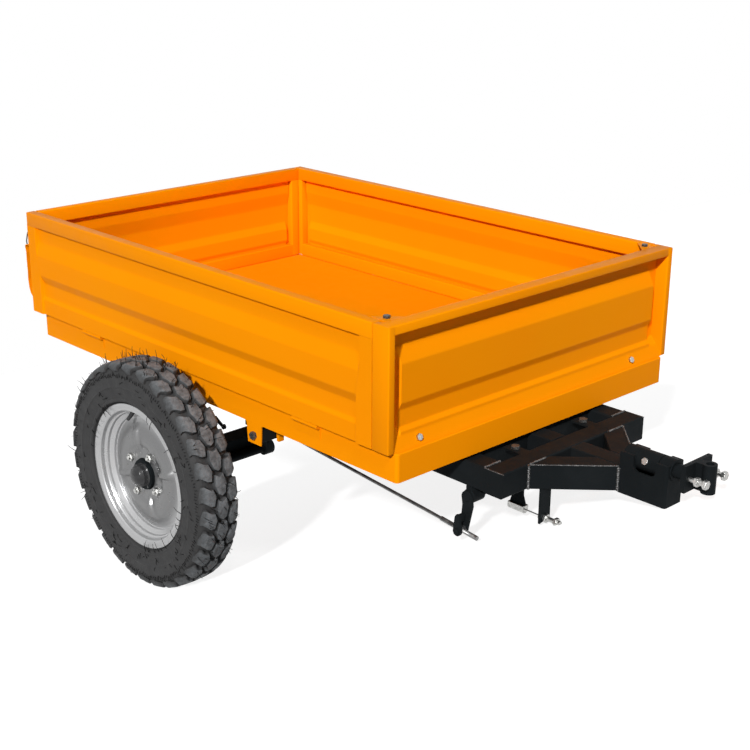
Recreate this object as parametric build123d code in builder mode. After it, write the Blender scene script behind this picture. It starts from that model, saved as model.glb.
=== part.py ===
"""Garden tractor trailer: a two-wheeled drop-side box trailer with a swivelling pin hitch.

Every piece is drawn in trailer coordinates: x forward from the middle of the box, y to the left, z up from
the lower edge of the side boards. The deck plane carries those coordinates into the part's own frame, whose
origin is the middle of the hitch pin's bore. With nothing under its drawbar the trailer parks nose down, on
both tyres and the lower front edge of the hitch box, and the deck plane leans by that angle.
"""

from build123d import *
import math
import os

os.makedirs("parts", exist_ok=True)

# box
bed_len = 1300.0  # over the tailgate and the front board
bed_wid = 900.0  # over the side boards
board_h = 256.0  # side boards, front board and tailgate
side_t = 25.0  # side board, over its top tube
tail_t = 22.0  # tailgate, over its top tube
front_t = 46.0  # front board, over its corner posts
sheet_t = 2.0  # pressed sheet
rim_h = 34.0  # top tube of a side board or tailgate
foot_h = 34.0  # bottom tube of a side board or tailgate
foot_in = 5.0  # bottom tube's face behind the board's face
foot_slope = 6.0  # height of the sheet's slope above the bottom tube
swage_d = 9.0  # how deep the pressed field lies behind the board's face
swage_proud = 1.0  # the raised band, behind the board's face
band_lo = 101.0  # raised band, lower edge
band_hi = 151.0  # raised band, upper edge
slope_lo = 20.0  # height of the slope under the band
slope_hi = 35.0  # height of the slope above the band
stile_rear = 36.0  # flat upright at a side board's rear end
stile_front = 30.0  # flat upright at a side board's front end
stile_tail = 26.0  # flat upright at each end of the tailgate
board_gap = 1.0  # running gap between a drop board and its neighbours
lap = 1.0  # how far one welded piece runs into the next

# front board
cap_h = 19.0  # top rail
cap_d = 34.0
post_w = 17.0  # corner post across the front face
pan_d = 30.0  # depth of the pan behind the front face
pan_proud = 13.0  # raised faces, behind the front face
pan_hi = 183.0  # upper raised face, top edge
pan_lo = 101.0  # upper raised face, lower edge
pan_end = 35.0  # raised faces stop this short of the corner posts
groove_h = 12.0  # groove between the two raised faces
groove_d = 8.0
pan_slope = 23.0  # height of the slope above the raised face
lip_h = 26.0  # the lip that slopes forward to the tray
lip_foot = 1.0  # its foot, behind the front face
gusset = 46.0  # legs of the corner gussets
gusset_t = 3.0
lip_bolts_y = (325.0, -360.0)

# tray under the boards
tray_in = 19.0  # tray's side behind the side board's face
tray_front = 6.0  # tray ahead of the front board
tray_rear = 22.0  # tray short of the tailgate's face
tray_h = 62.0  # skirt
tray_t = 3.0
tray_gap = 1.0  # boards above the tray
tray_round = 8.0  # upright corners of the tray
tab_w = 50.0  # tab at each side that hangs on the cross tube
tab_foot = 44.0
tab_drop = 48.0
tab_round = 8.0
keeper_y = 379.0  # plates that lock the tray against the cross tube
keeper_w = 14.0
keeper_len = 8.0
tab_lap = 2.0  # tab into the skirt
tab_bolt_drop = 3.0  # bolt under the cross tube's middle
pad_len = 60.0  # pads between the tray and the rails
pad_front = 90.0  # front pads behind the front crossbeam
ear_y = 112.0  # ears at the tray's front, bolted to the chassis
ear_w = 26.0
ear_len = 46.0

# wheels
tyre_r = 265.0  # over the lugs
tyre_w = 104.0  # section width
tread_w = 90.0
tread_drop = 2.0  # tread's edge below its crown
lug_h = 9.0
lug_count = 30
lug_share = 0.74  # of the pitch that a lug fills
lug_sink = 6.0  # lugs start this far inside the carcass
row_gap = 4.0  # groove between two rows of lugs
row_mid = 13.0  # half width of the middle row
shoulder_w = 12.0
shoulder_drop = 14.0
shoulder_sink = 4.0
shoulder_out = 2.0  # shoulder lugs past the tread's edge
belly_r = 232.0  # the sidewall stands straight from here in to the bead's slope
bead_slope = 33.0  # slope from the sidewall to the rim's flange
bead_in = 8.0
rim_r = 152.4  # bead seat
flange_r = 169.0
rim_w = 84.0  # over the flanges
bead_w = 38.0  # tyre's beads stand between the flanges
rim_t = 4.0
flange_t = 3.0
flange_foot = 3.5
ledge_w = 18.0  # bead seat, over its flange
well_slope = 8.0
well_d = 18.0  # well under the bead seats
disc_in = 8.0  # disc's rear and front faces at the well, outward of the tyre's middle
disc_out = 12.0
disc_foot = 18.0  # the disc's front face under the well
disc_foot_out = 14.0
disc_back_foot = 20.0
disc_back_out = 9.5
disc_seat = 16.0  # bolted middle, rear and front faces
disc_face = 20.0
disc_crest = (26.0, 74.0)  # crest of its front face: outward, radius
disc_crest_in = (21.5, 76.0)
disc_bowl_r = 60.0  # flat middle inside the crest
disc_bowl_in = 62.0
facets = 30  # flats round the tyre
track = 1060.0  # between tyre mid-planes
axle_x = -32.0
axle_z = -226.0
spindle_r = 17.5
hub_r = 36.0
hub_rear = 28.0  # hub's ends from the tyre's middle
hub_face = 25.0
hub_lip = 1.0  # spigot inside the disc's bore
drum_r = 92.0
drum_len = 42.0
drum_wall = 6.0
drum_web = 4.0  # drum's web, each side of the tyre's middle
cap_r = 24.0
cap_len = 34.0
cap_flange = 6.0
cap_edge = 2.0  # flange inside the hub's outside
cap_dome = 8.0  # how far the dome draws in
cap_crown = 6.0
stud_circle = 62.0
stud_land = 12.0  # hub's face past the studs
spin_gap = 0.3

# chassis
rail_w = 50.0
rail_h = 55.0
rail_wall = 4.0
rail_round = 5.0  # outer corners
rail_round_in = 2.0
rail_out = 233.0  # outer face of each rail from the middle
rail_top = -70.0
rail_rear = -560.0
nose_x = 754.0  # front face of the front crossbeam
cross_x = 218.0  # middle of the cross tube that carries the tray
cross_w = 40.0
cross_h = 35.0
beam_w = 50.0
beam_h = 30.0
beam_top = -202.0
plate_h = 22.0  # axle carrier under the beam
carrier_in = 215.0  # inner end of the carrier, from the middle
stub_root = 110.0  # the round spindle starts this far inside the tyre's middle
spindle_len = 133.0
back_gap = 5.0  # backing plate behind the drum
back_t = 4.0
back_over = 3.0  # backing plate past the drum's rim
hanger_over = 10.0  # hangers past the beam, front and rear
hanger_wall = 6.0

# drawbar and hitch box
arm_w = 46.0
arm_foot = 155.0  # outer corner of each arm on the crossbeam, from the middle
spine_w = 46.0
box_rear = 883.0
box_front = 997.0
box_half = 28.0
box_wall = 5.0
box_floor = -127.0
box_brow = -72.0  # top edge of the box's front wall
brow_lean = 1.0  # horns lean out ahead of that wall
box_round = 7.0
horn_top = -37.0
horn_rear = 33.0  # horns at each side of the notch
horn_front = 28.0
notch_rear = box_rear + horn_rear
notch_front = box_front - horn_front
notch_z = -70.0
notch_round = 14.0
swivel_z = -51.0
sleeve_r = 22.5
sleeve_gap = 0.2
sleeve_in = 2.0  # rear sleeve ahead of the box's rear face
sleeve_out = 3.0  # front sleeve past the box's front face
stop_bolt_z = -44.0  # stop bolt on the swivel's collar
stop_bolt_back = 2.0  # behind the notch's middle
swivel_r = 15.0
nose_r = 14.5
nose_len = 41.0  # from the box to the clevis plate
plate_x = box_front + nose_len
plate_wid = 90.0
plate_t = 10.0
web_t = 22.0  # from the clevis plate to the eye
plate_top = -15.0
plate_bot = -71.0
eye_out = 24.0  # from the clevis plate to the eye's middle
eye_x = plate_x + plate_t + eye_out
eye_z = -44.0
eye_r = 14.5
eye_len = 60.0
pin_r = 8.0

# latches of the tailgate, as (behind its face, height)
latch_w = 30.0  # handle, across the joint between the tailgate and a side board
latch_on = 6.0  # how much of it lies on the tailgate
bail_t = 4.0
latch_handle = [(0.5, 172), (24, 172), (15, 148), (18, 104), (20, 80), (17, 55), (11, 43), (0.5, 35)]
latch_handle += [(0.5, 39), (9, 46), (14, 57), (17, 80), (15, 103), (12, 147), (20, 169), (0.5, 169)]
latch_bail = [(0.5, 209), (12, 208), (30, 197), (40, 172), (36, 152), (13, 134)]
latch_bail += [(13, 139), (32, 155), (36, 172), (27, 194), (10, 204), (0.5, 205)]

# hinges of the drop boards
side_hinge_x = 396.0  # each way from the middle
hinge_in = 12.0  # pin behind the side board's face
hinge_drop = 7.0  # pin under the boards
gate_hinge_in = 4.0
gate_hinge_drop = 9.0
gate_hinge_y = 280.0
hinge_len = 78.0
leaf_t = 1.5
leaf_h = 30.0
bridge_t = 2.5  # from the leaf to the knuckle
barrel_r = 5.0
pin_hinge_r = 2.5
pin_gap = 0.3
knuckle_gap = 0.5

# brake linkage
bearing_r = 15.5  # tube under each rail that carries the shaft
bearing_in = 195.0
shaft_x = 661.0  # cross shaft
shaft_z = -149.0
shaft_r = 9.0
shaft_half = 236.0
lever_r = 14.0  # lever's head round the shaft
lever_t = 6.0
lever_neck = 18.0  # neck under the shaft's middle
neck_front = 2.0  # neck past the head's front
neck_rear = 3.0  # neck inside the head's rear
lever_x = 655.0  # trunnion at the lever's foot
lever_z = -221.0
foot_r = 10.0
trunnion_r = 5.0
block_r = 8.5  # trunnion's block round the rod
block_w = 13.0
rod_r = 3.5
thread_r = 5.0
thread_from = 599.0
thread_to = 700.0
rod_bends = [(145.0, -177.0), (563.0, -211.5)]
rod_bend_r = 40.0
rod_fall = 0.1  # how steeply the rod falls where it passes the lever
cam_r = 11.0  # brake camshaft beside the axle
cam_z = -239.0
boss_r = 18.0
boss_in = 215.0  # inner end of the boss, from the middle
cam_lever_x = -15.0  # rod's eye on the camshaft's lever
cam_lever_z = -164.0
lever_foot_r = 8.0
mid_y = -72.0  # middle lever on the cross shaft
mid_w = 26.0
mid_foot = 40.0
mid_drop = 63.0
mid_t = 8.0
mid_flare = 20.0  # height over which its foot widens
clamp_r = 9.0  # wire clamp at the middle lever's foot
clamp_half = 22.0
wire_r = 1.5
stop_x = 768.0  # flat bar that holds the wire's adjuster
stop_y = -119.0
stop_wid = 32.0
stop_t = 5.0
stop_drop = 78.0
stop_slant = 8.0  # its foot is cut off at a slant
adjuster_z = -193.0
adjuster_r = 5.0
adjuster_len = 46.0

# upright arm on the axle beam, from the axle's middle line and the beam's top
spring_arm_y = 343.0
spring_t = 6.0
spring_knob_r = 6.0
spring_arm = [(-21.0, -1.0), (-17.0, 52.0), (-6.0, 60.0), (26.0, 42.0)]
spring_arm += [(20.0, 40.0), (-2.0, 50.0), (-8.0, -1.0)]

# fits
fit = 1.0  # between pieces that are bolted or welded up without touching
bolt_gap = 0.3
seat = 0.3  # between a turning piece and what it runs beside

# fasteners
m8_af = 13.0
m8_r = 4.0
m8_head = 5.5
m10_af = 17.0
m10_r = 5.0
m10_head = 7.0
m12_head = 8.0
clevis_bolt_y = 32.0
clevis_bolt_len = 42.0
clevis_nut = 15.0  # gap between the clevis plate and the nut

# the parked lean: tyres and the box's lower front edge on one floor
reach = math.hypot(box_front - axle_x, box_floor - axle_z)
lean = math.degrees(math.asin(tyre_r / reach) + math.atan2(box_floor - axle_z, box_front - axle_x))
fwd = Vector(math.cos(math.radians(lean)), 0, -math.sin(math.radians(lean)))
rise = Vector(math.sin(math.radians(lean)), 0, math.cos(math.radians(lean)))
deck = Plane(origin=fwd * -eye_x + rise * -eye_z, x_dir=fwd, z_dir=rise)


def at(x, y, z):
    """The point (x, y, z) of the trailer in the part's frame."""
    return deck.from_local_coords(Vector(x, y, z))


def flat(z, x=0.0, y=0.0):
    """Level plane: sketch x is forward, sketch y is left, extrudes up."""
    return Plane(origin=at(x, y, z), x_dir=deck.x_dir, z_dir=deck.z_dir)


def across(x, y=0.0, z=0.0):
    """Plane across the trailer: sketch x is left, sketch y is up, extrudes forward."""
    return Plane(origin=at(x, y, z), x_dir=deck.y_dir, z_dir=deck.x_dir)


def along(y, x=0.0, z=0.0):
    """Plane along the trailer: sketch x is forward, sketch y is up, extrudes to the right."""
    return Plane(origin=at(x, y, z), x_dir=deck.x_dir, z_dir=-deck.y_dir)


def line_y(x, z):
    """Axis to the left through (x, z)."""
    return Axis(tuple(at(x, 0, z)), tuple(deck.y_dir))


upward = Axis(tuple(at(0, 0, 0)), tuple(deck.z_dir))


def board_field(top):
    """Outer face of the pressed field of a drop board, as (depth behind the face, height)."""
    return [
        (foot_in, foot_h),
        (swage_d, foot_h + foot_slope),
        (swage_d, band_lo - slope_lo),
        (swage_proud, band_lo),
        (swage_proud, band_hi),
        (swage_d, band_hi + slope_hi),
        (swage_d, top),
    ]


side_y = bed_wid / 2
rear_x = -bed_len / 2
front_x = bed_len / 2
side_front = front_x - front_t - board_gap
hinge_y = side_y - hinge_in
hinge_z = -hinge_drop
gate_hinge_x = rear_x + gate_hinge_in
gate_hinge_z = -gate_hinge_drop

# side boards
for side, s in (("left", 1), ("right", -1)):
    with BuildPart() as side_board:
        with BuildSketch(across(rear_x + stile_rear)):
            with BuildLine():
                out = board_field(board_h - rim_h + lap)
                pts = [(s * (side_y - d), h) for d, h in out]
                pts += [(s * (side_y - d - sheet_t), h) for d, h in reversed(out)]
                Polyline(*pts, close=True)
            make_face()
            with Locations((s * (side_y - side_t / 2), board_h - rim_h / 2)):
                Rectangle(side_t, rim_h)
                Rectangle(side_t - 2 * sheet_t, rim_h - 2 * sheet_t, mode=Mode.SUBTRACT)
            with Locations((s * (side_y - (side_t + foot_in) / 2), foot_h / 2)):
                Rectangle(side_t - foot_in, foot_h)
                Rectangle(side_t - foot_in - 2 * sheet_t, foot_h - 2 * sheet_t, mode=Mode.SUBTRACT)
        extrude(amount=side_front - stile_front - rear_x - stile_rear)
        with BuildSketch(flat(0)):
            with Locations((rear_x + stile_rear / 2, s * (side_y - side_t / 2))):
                Rectangle(stile_rear, side_t)
            with Locations((side_front - stile_front / 2, s * (side_y - side_t / 2))):
                Rectangle(stile_front, side_t)
        extrude(amount=board_h)
    side_board.part.label = f"side_board_{side}"
    export_step(side_board.part, f"parts/side_board_{side}.step")

# tailgate
gate_half = side_y - side_t - board_gap
with BuildPart() as tailgate:
    with BuildSketch(along(gate_half - stile_tail)):
        with BuildLine():
            out = board_field(board_h - rim_h + lap)
            pts = [(rear_x + d, h) for d, h in out] + [(rear_x + d + sheet_t, h) for d, h in reversed(out)]
            Polyline(*pts, close=True)
        make_face()
        with Locations((rear_x + tail_t / 2, board_h - rim_h / 2)):
            Rectangle(tail_t, rim_h)
            Rectangle(tail_t - 2 * sheet_t, rim_h - 2 * sheet_t, mode=Mode.SUBTRACT)
        with Locations((rear_x + (tail_t + foot_in) / 2, foot_h / 2)):
            Rectangle(tail_t - foot_in, foot_h)
            Rectangle(tail_t - foot_in - 2 * sheet_t, foot_h - 2 * sheet_t, mode=Mode.SUBTRACT)
    extrude(amount=2 * (gate_half - stile_tail))
    with BuildSketch(flat(0)):
        stile_y = gate_half - stile_tail / 2
        with Locations((rear_x + tail_t / 2, stile_y), (rear_x + tail_t / 2, -stile_y)):
            Rectangle(tail_t, stile_tail)
    extrude(amount=board_h)
tailgate.part.label = "tailgate"
export_step(tailgate.part, "parts/tailgate.step")

# front board: a pan stiffened by raised faces, a lip at its foot, a cap rail, posts and corner gussets
lip = [(lip_foot, -tray_gap), (pan_proud, lip_h)]
raised = [
    (pan_proud, pan_lo - groove_h),
    (pan_proud + groove_d, pan_lo - groove_h / 2),
    (pan_proud, pan_lo),
    (pan_proud, pan_hi),
    (pan_d, pan_hi + pan_slope),
]
flush = [(pan_d, lip_h + pan_d - pan_proud)]
rim_in = [(pan_d, board_h - cap_h + lap)]
pan_half = side_y - post_w
raised_half = pan_half - pan_end
lip_bolt_x = front_x - (lip[0][0] + lip[1][0]) / 2
lip_bolt_z = (lip[0][1] + lip[1][1]) / 2
lip_face = deck.x_dir * (lip[1][1] - lip[0][1]) + deck.z_dir * (lip[1][0] - lip[0][0])
gusset_x = front_x - cap_d
gusset_y = side_y - side_t - board_gap
corner_bolt_x = gusset_x - gusset / 3
corner_bolt_y = gusset_y - gusset / 3


def folded(line):
    """Closed outline of a sheet whose front face follows the points (depth behind the front, height)."""
    return [(front_x - d, h) for d, h in line] + [(front_x - d - sheet_t, h) for d, h in reversed(line)]


with BuildPart() as front_board:
    with BuildSketch(along(raised_half)):
        with BuildLine():
            Polyline(*folded(lip + raised + rim_in), close=True)
        make_face()
    extrude(amount=2 * raised_half)
    for y in (pan_half, -raised_half):
        with BuildSketch(along(y)):
            with BuildLine():
                Polyline(*folded(lip + flush + rim_in), close=True)
            make_face()
        extrude(amount=pan_end)
    for y in (raised_half, sheet_t - raised_half):
        with BuildSketch(along(y)):
            with BuildLine():
                front = [(front_x - d, h) for d, h in lip[1:] + raised]
                back = [(front_x - d - sheet_t, h) for d, h in [raised[-1]] + flush + lip[1:]]
                Polyline(*front, *back, close=True)
            make_face()
        extrude(amount=sheet_t)
    with BuildSketch(along(pan_half)):
        with Locations((front_x - cap_d / 2, board_h - cap_h / 2)):
            Rectangle(cap_d, cap_h)
            Rectangle(cap_d - 2 * sheet_t, cap_h - 2 * sheet_t, mode=Mode.SUBTRACT)
    extrude(amount=2 * pan_half)
    with BuildSketch(flat(-tray_gap)):
        post_x = front_x - front_t / 2
        with Locations((post_x, side_y - post_w / 2), (post_x, post_w / 2 - side_y)):
            Rectangle(front_t, post_w)
            Rectangle(front_t - 2 * sheet_t, post_w - 2 * sheet_t, mode=Mode.SUBTRACT)
    extrude(amount=board_h + tray_gap)
    with BuildSketch(flat(board_h - gusset_t)):
        for s in (1, -1):
            with BuildLine():
                Polyline(
                    (gusset_x + lap, s * gusset_y),
                    (gusset_x - gusset, s * gusset_y),
                    (gusset_x + lap, s * (gusset_y - gusset)),
                    close=True,
                )
            make_face()
        with Locations((corner_bolt_x, corner_bolt_y), (corner_bolt_x, -corner_bolt_y)):
            Circle(m8_r + bolt_gap, mode=Mode.SUBTRACT)
    extrude(amount=gusset_t)
    for y in lip_bolts_y:
        with BuildSketch(Plane(origin=at(lip_bolt_x, y, lip_bolt_z), z_dir=lip_face)):
            Circle(m8_r + bolt_gap)
        extrude(amount=2 * sheet_t, both=True, mode=Mode.SUBTRACT)
front_board.part.label = "front_board"
export_step(front_board.part, "parts/front_board.step")

# tray: floor with a skirt all round, its tabs reach down to the cross tube
tray_wid = bed_wid - 2 * tray_in
tray_x0 = rear_x + tray_rear
tray_x1 = front_x + tray_front
tray_len = tray_x1 - tray_x0
tray_mid = (tray_x0 + tray_x1) / 2
tab_bolt_z = rail_top - cross_h / 2 - tab_bolt_drop
with BuildPart() as tray:
    with BuildSketch(flat(-tray_h)):
        with Locations((tray_mid, 0)):
            RectangleRounded(tray_len, tray_wid, tray_round)
    extrude(amount=tray_h - tray_gap)
    fillet(tray.faces().sort_by(upward)[-1].edges(), tray_t)
    with BuildSketch(flat(-tray_h)):
        with Locations((tray_mid, 0)):
            RectangleRounded(tray_len - 2 * tray_t, tray_wid - 2 * tray_t, tray_round - tray_t)
    extrude(amount=tray_h - tray_gap - tray_t, mode=Mode.SUBTRACT)
    for y in (tray_wid / 2, -tray_wid / 2 + tray_t):
        with BuildSketch(along(y)) as tab:
            with BuildLine():
                Polyline(
                    (cross_x - tab_w, tab_lap - tray_h),
                    (cross_x - tab_w, -tray_h),
                    (cross_x - tab_w / 2, -tray_h),
                    (cross_x - tab_foot / 2, -tray_h - tab_drop),
                    (cross_x + tab_foot / 2, -tray_h - tab_drop),
                    (cross_x + tab_w / 2, -tray_h),
                    (cross_x + tab_w, -tray_h),
                    (cross_x + tab_w, tab_lap - tray_h),
                    close=True,
                )
            make_face()
            fillet(tab.vertices().sort_by(Axis.Y)[2:6].sort_by(Axis.X)[1:3], tab_round)
            with Locations((cross_x, tab_bolt_z)):
                Circle(m10_r + bolt_gap, mode=Mode.SUBTRACT)
        extrude(amount=tray_t)
    with BuildSketch(flat(-tray_h - tab_drop)):
        for s in (1, -1):
            with Locations((cross_x + cross_w / 2 + fit + keeper_len / 2, s * keeper_y)):
                Rectangle(keeper_len, keeper_w)
    extrude(amount=tray_h + tab_drop - tray_gap - tray_t)
    with BuildSketch(flat(rail_top)):
        for x in (rail_rear + pad_len, cross_x, nose_x - rail_w - pad_front):
            with Locations((x, rail_out - rail_w / 2), (x, rail_w / 2 - rail_out)):
                Rectangle(pad_len, rail_w)
    extrude(amount=-rail_top - tray_gap - tray_t)
tray.part.label = "bed_tray"
export_step(tray.part, "parts/bed_tray.step")

# chassis rails, crossbeams and spine
bore_w = rail_w - 2 * rail_wall
bore_h = rail_h - 2 * rail_wall
for side, s in (("left", 1), ("right", -1)):
    with BuildPart() as rail:
        with BuildSketch(across(rail_rear)):
            with Locations((s * (rail_out - rail_w / 2), rail_top - rail_h / 2)):
                RectangleRounded(rail_w, rail_h, rail_round)
                RectangleRounded(bore_w, bore_h, rail_round_in, mode=Mode.SUBTRACT)
        extrude(amount=nose_x - rail_w - rail_rear)
    rail.part.label = f"chassis_rail_{side}"
    export_step(rail.part, f"parts/chassis_rail_{side}.step")

ear_bolt_x = nose_x - rail_w - ear_len / 2
for name, x in (("front_crossbeam", nose_x), ("rear_crossbeam", rail_rear + rail_w)):
    half = rail_out if name == "front_crossbeam" else rail_out - rail_w
    with BuildPart() as crossbeam:
        with BuildSketch(along(half)):
            with Locations((x - rail_w / 2, rail_top - rail_h / 2)):
                RectangleRounded(rail_w, rail_h, rail_round)
                RectangleRounded(bore_w, bore_h, rail_round_in, mode=Mode.SUBTRACT)
        extrude(amount=2 * half)
        if name == "front_crossbeam":
            with BuildSketch(flat(rail_top - rail_wall)):
                with Locations((x - rail_w + (2 * rail_wall - ear_len) / 2, ear_y)):
                    Rectangle(ear_len + 2 * rail_wall, ear_w)
                with Locations((x - rail_w + (2 * rail_wall - ear_len) / 2, -ear_y)):
                    Rectangle(ear_len + 2 * rail_wall, ear_w)
                with Locations((ear_bolt_x, ear_y), (ear_bolt_x, -ear_y)):
                    Circle(m10_r + bolt_gap, mode=Mode.SUBTRACT)
            extrude(amount=rail_wall)
    crossbeam.part.label = name
    export_step(crossbeam.part, f"parts/{name}.step")

with BuildPart() as cross_tube:
    with BuildSketch(along(tray_wid / 2 - tray_t - fit)):
        with Locations((cross_x, rail_top - cross_h / 2)):
            Rectangle(cross_w, cross_h)
    extrude(amount=tray_wid - 2 * tray_t - 2 * fit)
    with BuildSketch(flat(rail_top - rail_h)):
        with Locations((cross_x, rail_out - rail_w / 2), (cross_x, rail_w / 2 - rail_out)):
            Rectangle(cross_w + 2 * lap, rail_w)
    extrude(amount=rail_h, mode=Mode.SUBTRACT)
cross_tube.part.label = "bed_cross_tube"
export_step(cross_tube.part, "parts/bed_cross_tube.step")

with BuildPart() as spine:
    with BuildSketch(across(cross_x + cross_w / 2)):
        with Locations((0, rail_top - rail_h / 2)):
            Rectangle(spine_w, rail_h)
            Rectangle(spine_w - 2 * rail_wall, bore_h, mode=Mode.SUBTRACT)
    extrude(amount=nose_x - rail_w - cross_x - cross_w / 2)
spine.part.label = "spine_rear"
export_step(spine.part, "parts/spine_rear.step")

# drawbar: two arms to the hitch box and a short spine between them
run = box_rear - nose_x
slope = math.atan2(run, arm_foot - box_half)
arm_y = arm_w / math.sin(slope)
for side, s in (("left", 1), ("right", -1)):
    with BuildPart() as arm:
        with BuildSketch(flat(rail_top - rail_h)):
            with BuildLine():
                Polyline(
                    (nose_x, s * arm_foot),
                    (nose_x, s * (arm_foot - arm_y)),
                    (nose_x + (arm_foot - arm_y - spine_w / 2) * math.tan(slope), s * spine_w / 2),
                    (box_rear, s * spine_w / 2),
                    (box_rear, s * box_half),
                    close=True,
                )
            make_face()
        extrude(amount=rail_h)
    arm.part.label = f"drawbar_arm_{side}"
    export_step(arm.part, f"parts/drawbar_arm_{side}.step")

with BuildPart() as spine_nose:
    with BuildSketch(across(nose_x)):
        with Locations((0, rail_top - rail_h / 2)):
            Rectangle(spine_w, rail_h)
            Rectangle(spine_w - 2 * rail_wall, bore_h, mode=Mode.SUBTRACT)
    extrude(amount=box_rear - nose_x)
spine_nose.part.label = "spine_front"
export_step(spine_nose.part, "parts/spine_front.step")

with BuildPart() as hitch_box:
    with BuildSketch(along(box_half)):
        with BuildLine():
            Polyline(
                (box_rear, box_floor),
                (box_front, box_floor),
                (box_front, box_brow),
                (box_front + brow_lean, horn_top),
                (box_rear, horn_top),
                close=True,
            )
        make_face()
        with Locations(((notch_rear + notch_front) / 2, horn_top)):
            RectangleRounded(
                notch_front - notch_rear, 2 * (horn_top - notch_z), notch_round, mode=Mode.SUBTRACT
            )
    extrude(amount=2 * box_half)
    with BuildSketch(flat(box_floor)):
        with Locations((box_rear, 0)):
            RectangleRounded(2 * (box_front + brow_lean - box_rear), 2 * box_half, box_round)
    extrude(amount=horn_top - box_floor, mode=Mode.INTERSECT)
    with BuildSketch(flat(box_floor + box_wall)):
        with Locations(((box_rear + box_front - box_wall) / 2, 0)):
            Rectangle(box_front - box_rear - box_wall, 2 * (box_half - box_wall))
    extrude(amount=horn_top - box_floor, mode=Mode.SUBTRACT)
    with BuildSketch(across(box_front - box_wall - lap)):
        with Locations((0, swivel_z)):
            Circle(sleeve_r + sleeve_gap)
    extrude(amount=box_wall + 4 * lap, mode=Mode.SUBTRACT)
hitch_box.part.label = "hitch_box"
export_step(hitch_box.part, "parts/hitch_box.step")

for name, x0, x1 in (
    ("swivel_sleeve_rear", box_rear + sleeve_in, notch_rear),
    ("swivel_sleeve_front", notch_front, box_front + sleeve_out),
):
    with BuildPart() as sleeve:
        with BuildSketch(across(x0)):
            with Locations((0, swivel_z)):
                Circle(sleeve_r)
                Circle(swivel_r + bolt_gap, mode=Mode.SUBTRACT)
        extrude(amount=x1 - x0)
    sleeve.part.label = name
    export_step(sleeve.part, f"parts/{name}.step")

# swivel: shaft with its stop collar, nose, clevis plate and hitch eye
stop_x0 = (notch_rear + notch_front) / 2 - stop_bolt_back
stop_up = math.degrees(math.asin((stop_bolt_z - swivel_z) / sleeve_r))
stop_out = deck.z_dir * math.sin(math.radians(stop_up)) - deck.y_dir * math.cos(math.radians(stop_up))
with BuildPart() as shaft:
    with BuildSketch(across(box_rear + sleeve_in / 2)):
        with Locations((0, swivel_z)):
            Circle(swivel_r)
    extrude(amount=box_front + sleeve_out - box_rear)
    with BuildSketch(across(notch_rear + fit)):
        with Locations((0, swivel_z)):
            Circle(sleeve_r)
    extrude(amount=notch_front - notch_rear - 2 * fit)
    with BuildSketch(Plane(origin=at(stop_x0, 0, swivel_z), z_dir=stop_out)):
        Circle(m8_r + bolt_gap)
    extrude(amount=2 * sleeve_r, mode=Mode.SUBTRACT)
    with BuildSketch(across(box_front + sleeve_out)):
        with Locations((0, swivel_z)):
            Circle(nose_r)
    extrude(amount=plate_x - box_front - sleeve_out)
shaft.part.label = "swivel_shaft"
export_step(shaft.part, "parts/swivel_shaft.step")

with BuildPart() as stop_bolt:
    with BuildSketch(Plane(origin=at(stop_x0, 0, swivel_z), z_dir=stop_out)):
        Circle(m8_r)
    extrude(amount=sleeve_r + fit)
    with BuildSketch(Plane(origin=at(stop_x0, 0, swivel_z) + stop_out * sleeve_r, z_dir=stop_out)):
        RegularPolygon(m8_af / 2, 6, major_radius=False)
    extrude(amount=m8_head)
stop_bolt.part.label = "swivel_stop_bolt"
export_step(stop_bolt.part, "parts/swivel_stop_bolt.step")

with BuildPart() as clevis:
    with BuildSketch(across(plate_x)):
        with Locations((0, (plate_top + plate_bot) / 2)):
            Rectangle(plate_wid, plate_top - plate_bot)
    extrude(amount=plate_t)
    with BuildSketch(flat(plate_bot)):
        with Locations(((plate_x + plate_t + eye_x) / 2, 0)):
            Rectangle(eye_x - plate_x - plate_t, web_t)
    extrude(amount=plate_top - plate_bot)
    with BuildSketch(flat(eye_z - eye_len / 2)):
        with Locations((eye_x, 0)):
            Circle(eye_r)
    extrude(amount=eye_len)
    with BuildSketch(flat(eye_z - eye_len / 2)):
        with Locations((eye_x, 0)):
            Circle(pin_r)
    extrude(amount=eye_len, mode=Mode.SUBTRACT)
clevis.part.label = "hitch_eye"
export_step(clevis.part, "parts/hitch_eye.step")

# axle: beam with an upright spring arm near each end
with BuildPart() as beam:
    with BuildSketch(along(track / 2 - stub_root)):
        with Locations((axle_x, beam_top - beam_h / 2)):
            Rectangle(beam_w, beam_h)
    extrude(amount=track - 2 * stub_root)
    for y in (spring_arm_y + spring_t / 2, spring_t / 2 - spring_arm_y):
        with BuildSketch(along(y)):
            with BuildLine():
                Polyline(*[(axle_x + x, beam_top + h) for x, h in spring_arm], close=True)
            make_face()
            with Locations((axle_x + spring_arm[3][0], beam_top + spring_arm[3][1])):
                Circle(spring_knob_r)
        extrude(amount=spring_t)
beam.part.label = "axle_beam"
export_step(beam.part, "parts/axle_beam.step")

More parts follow.
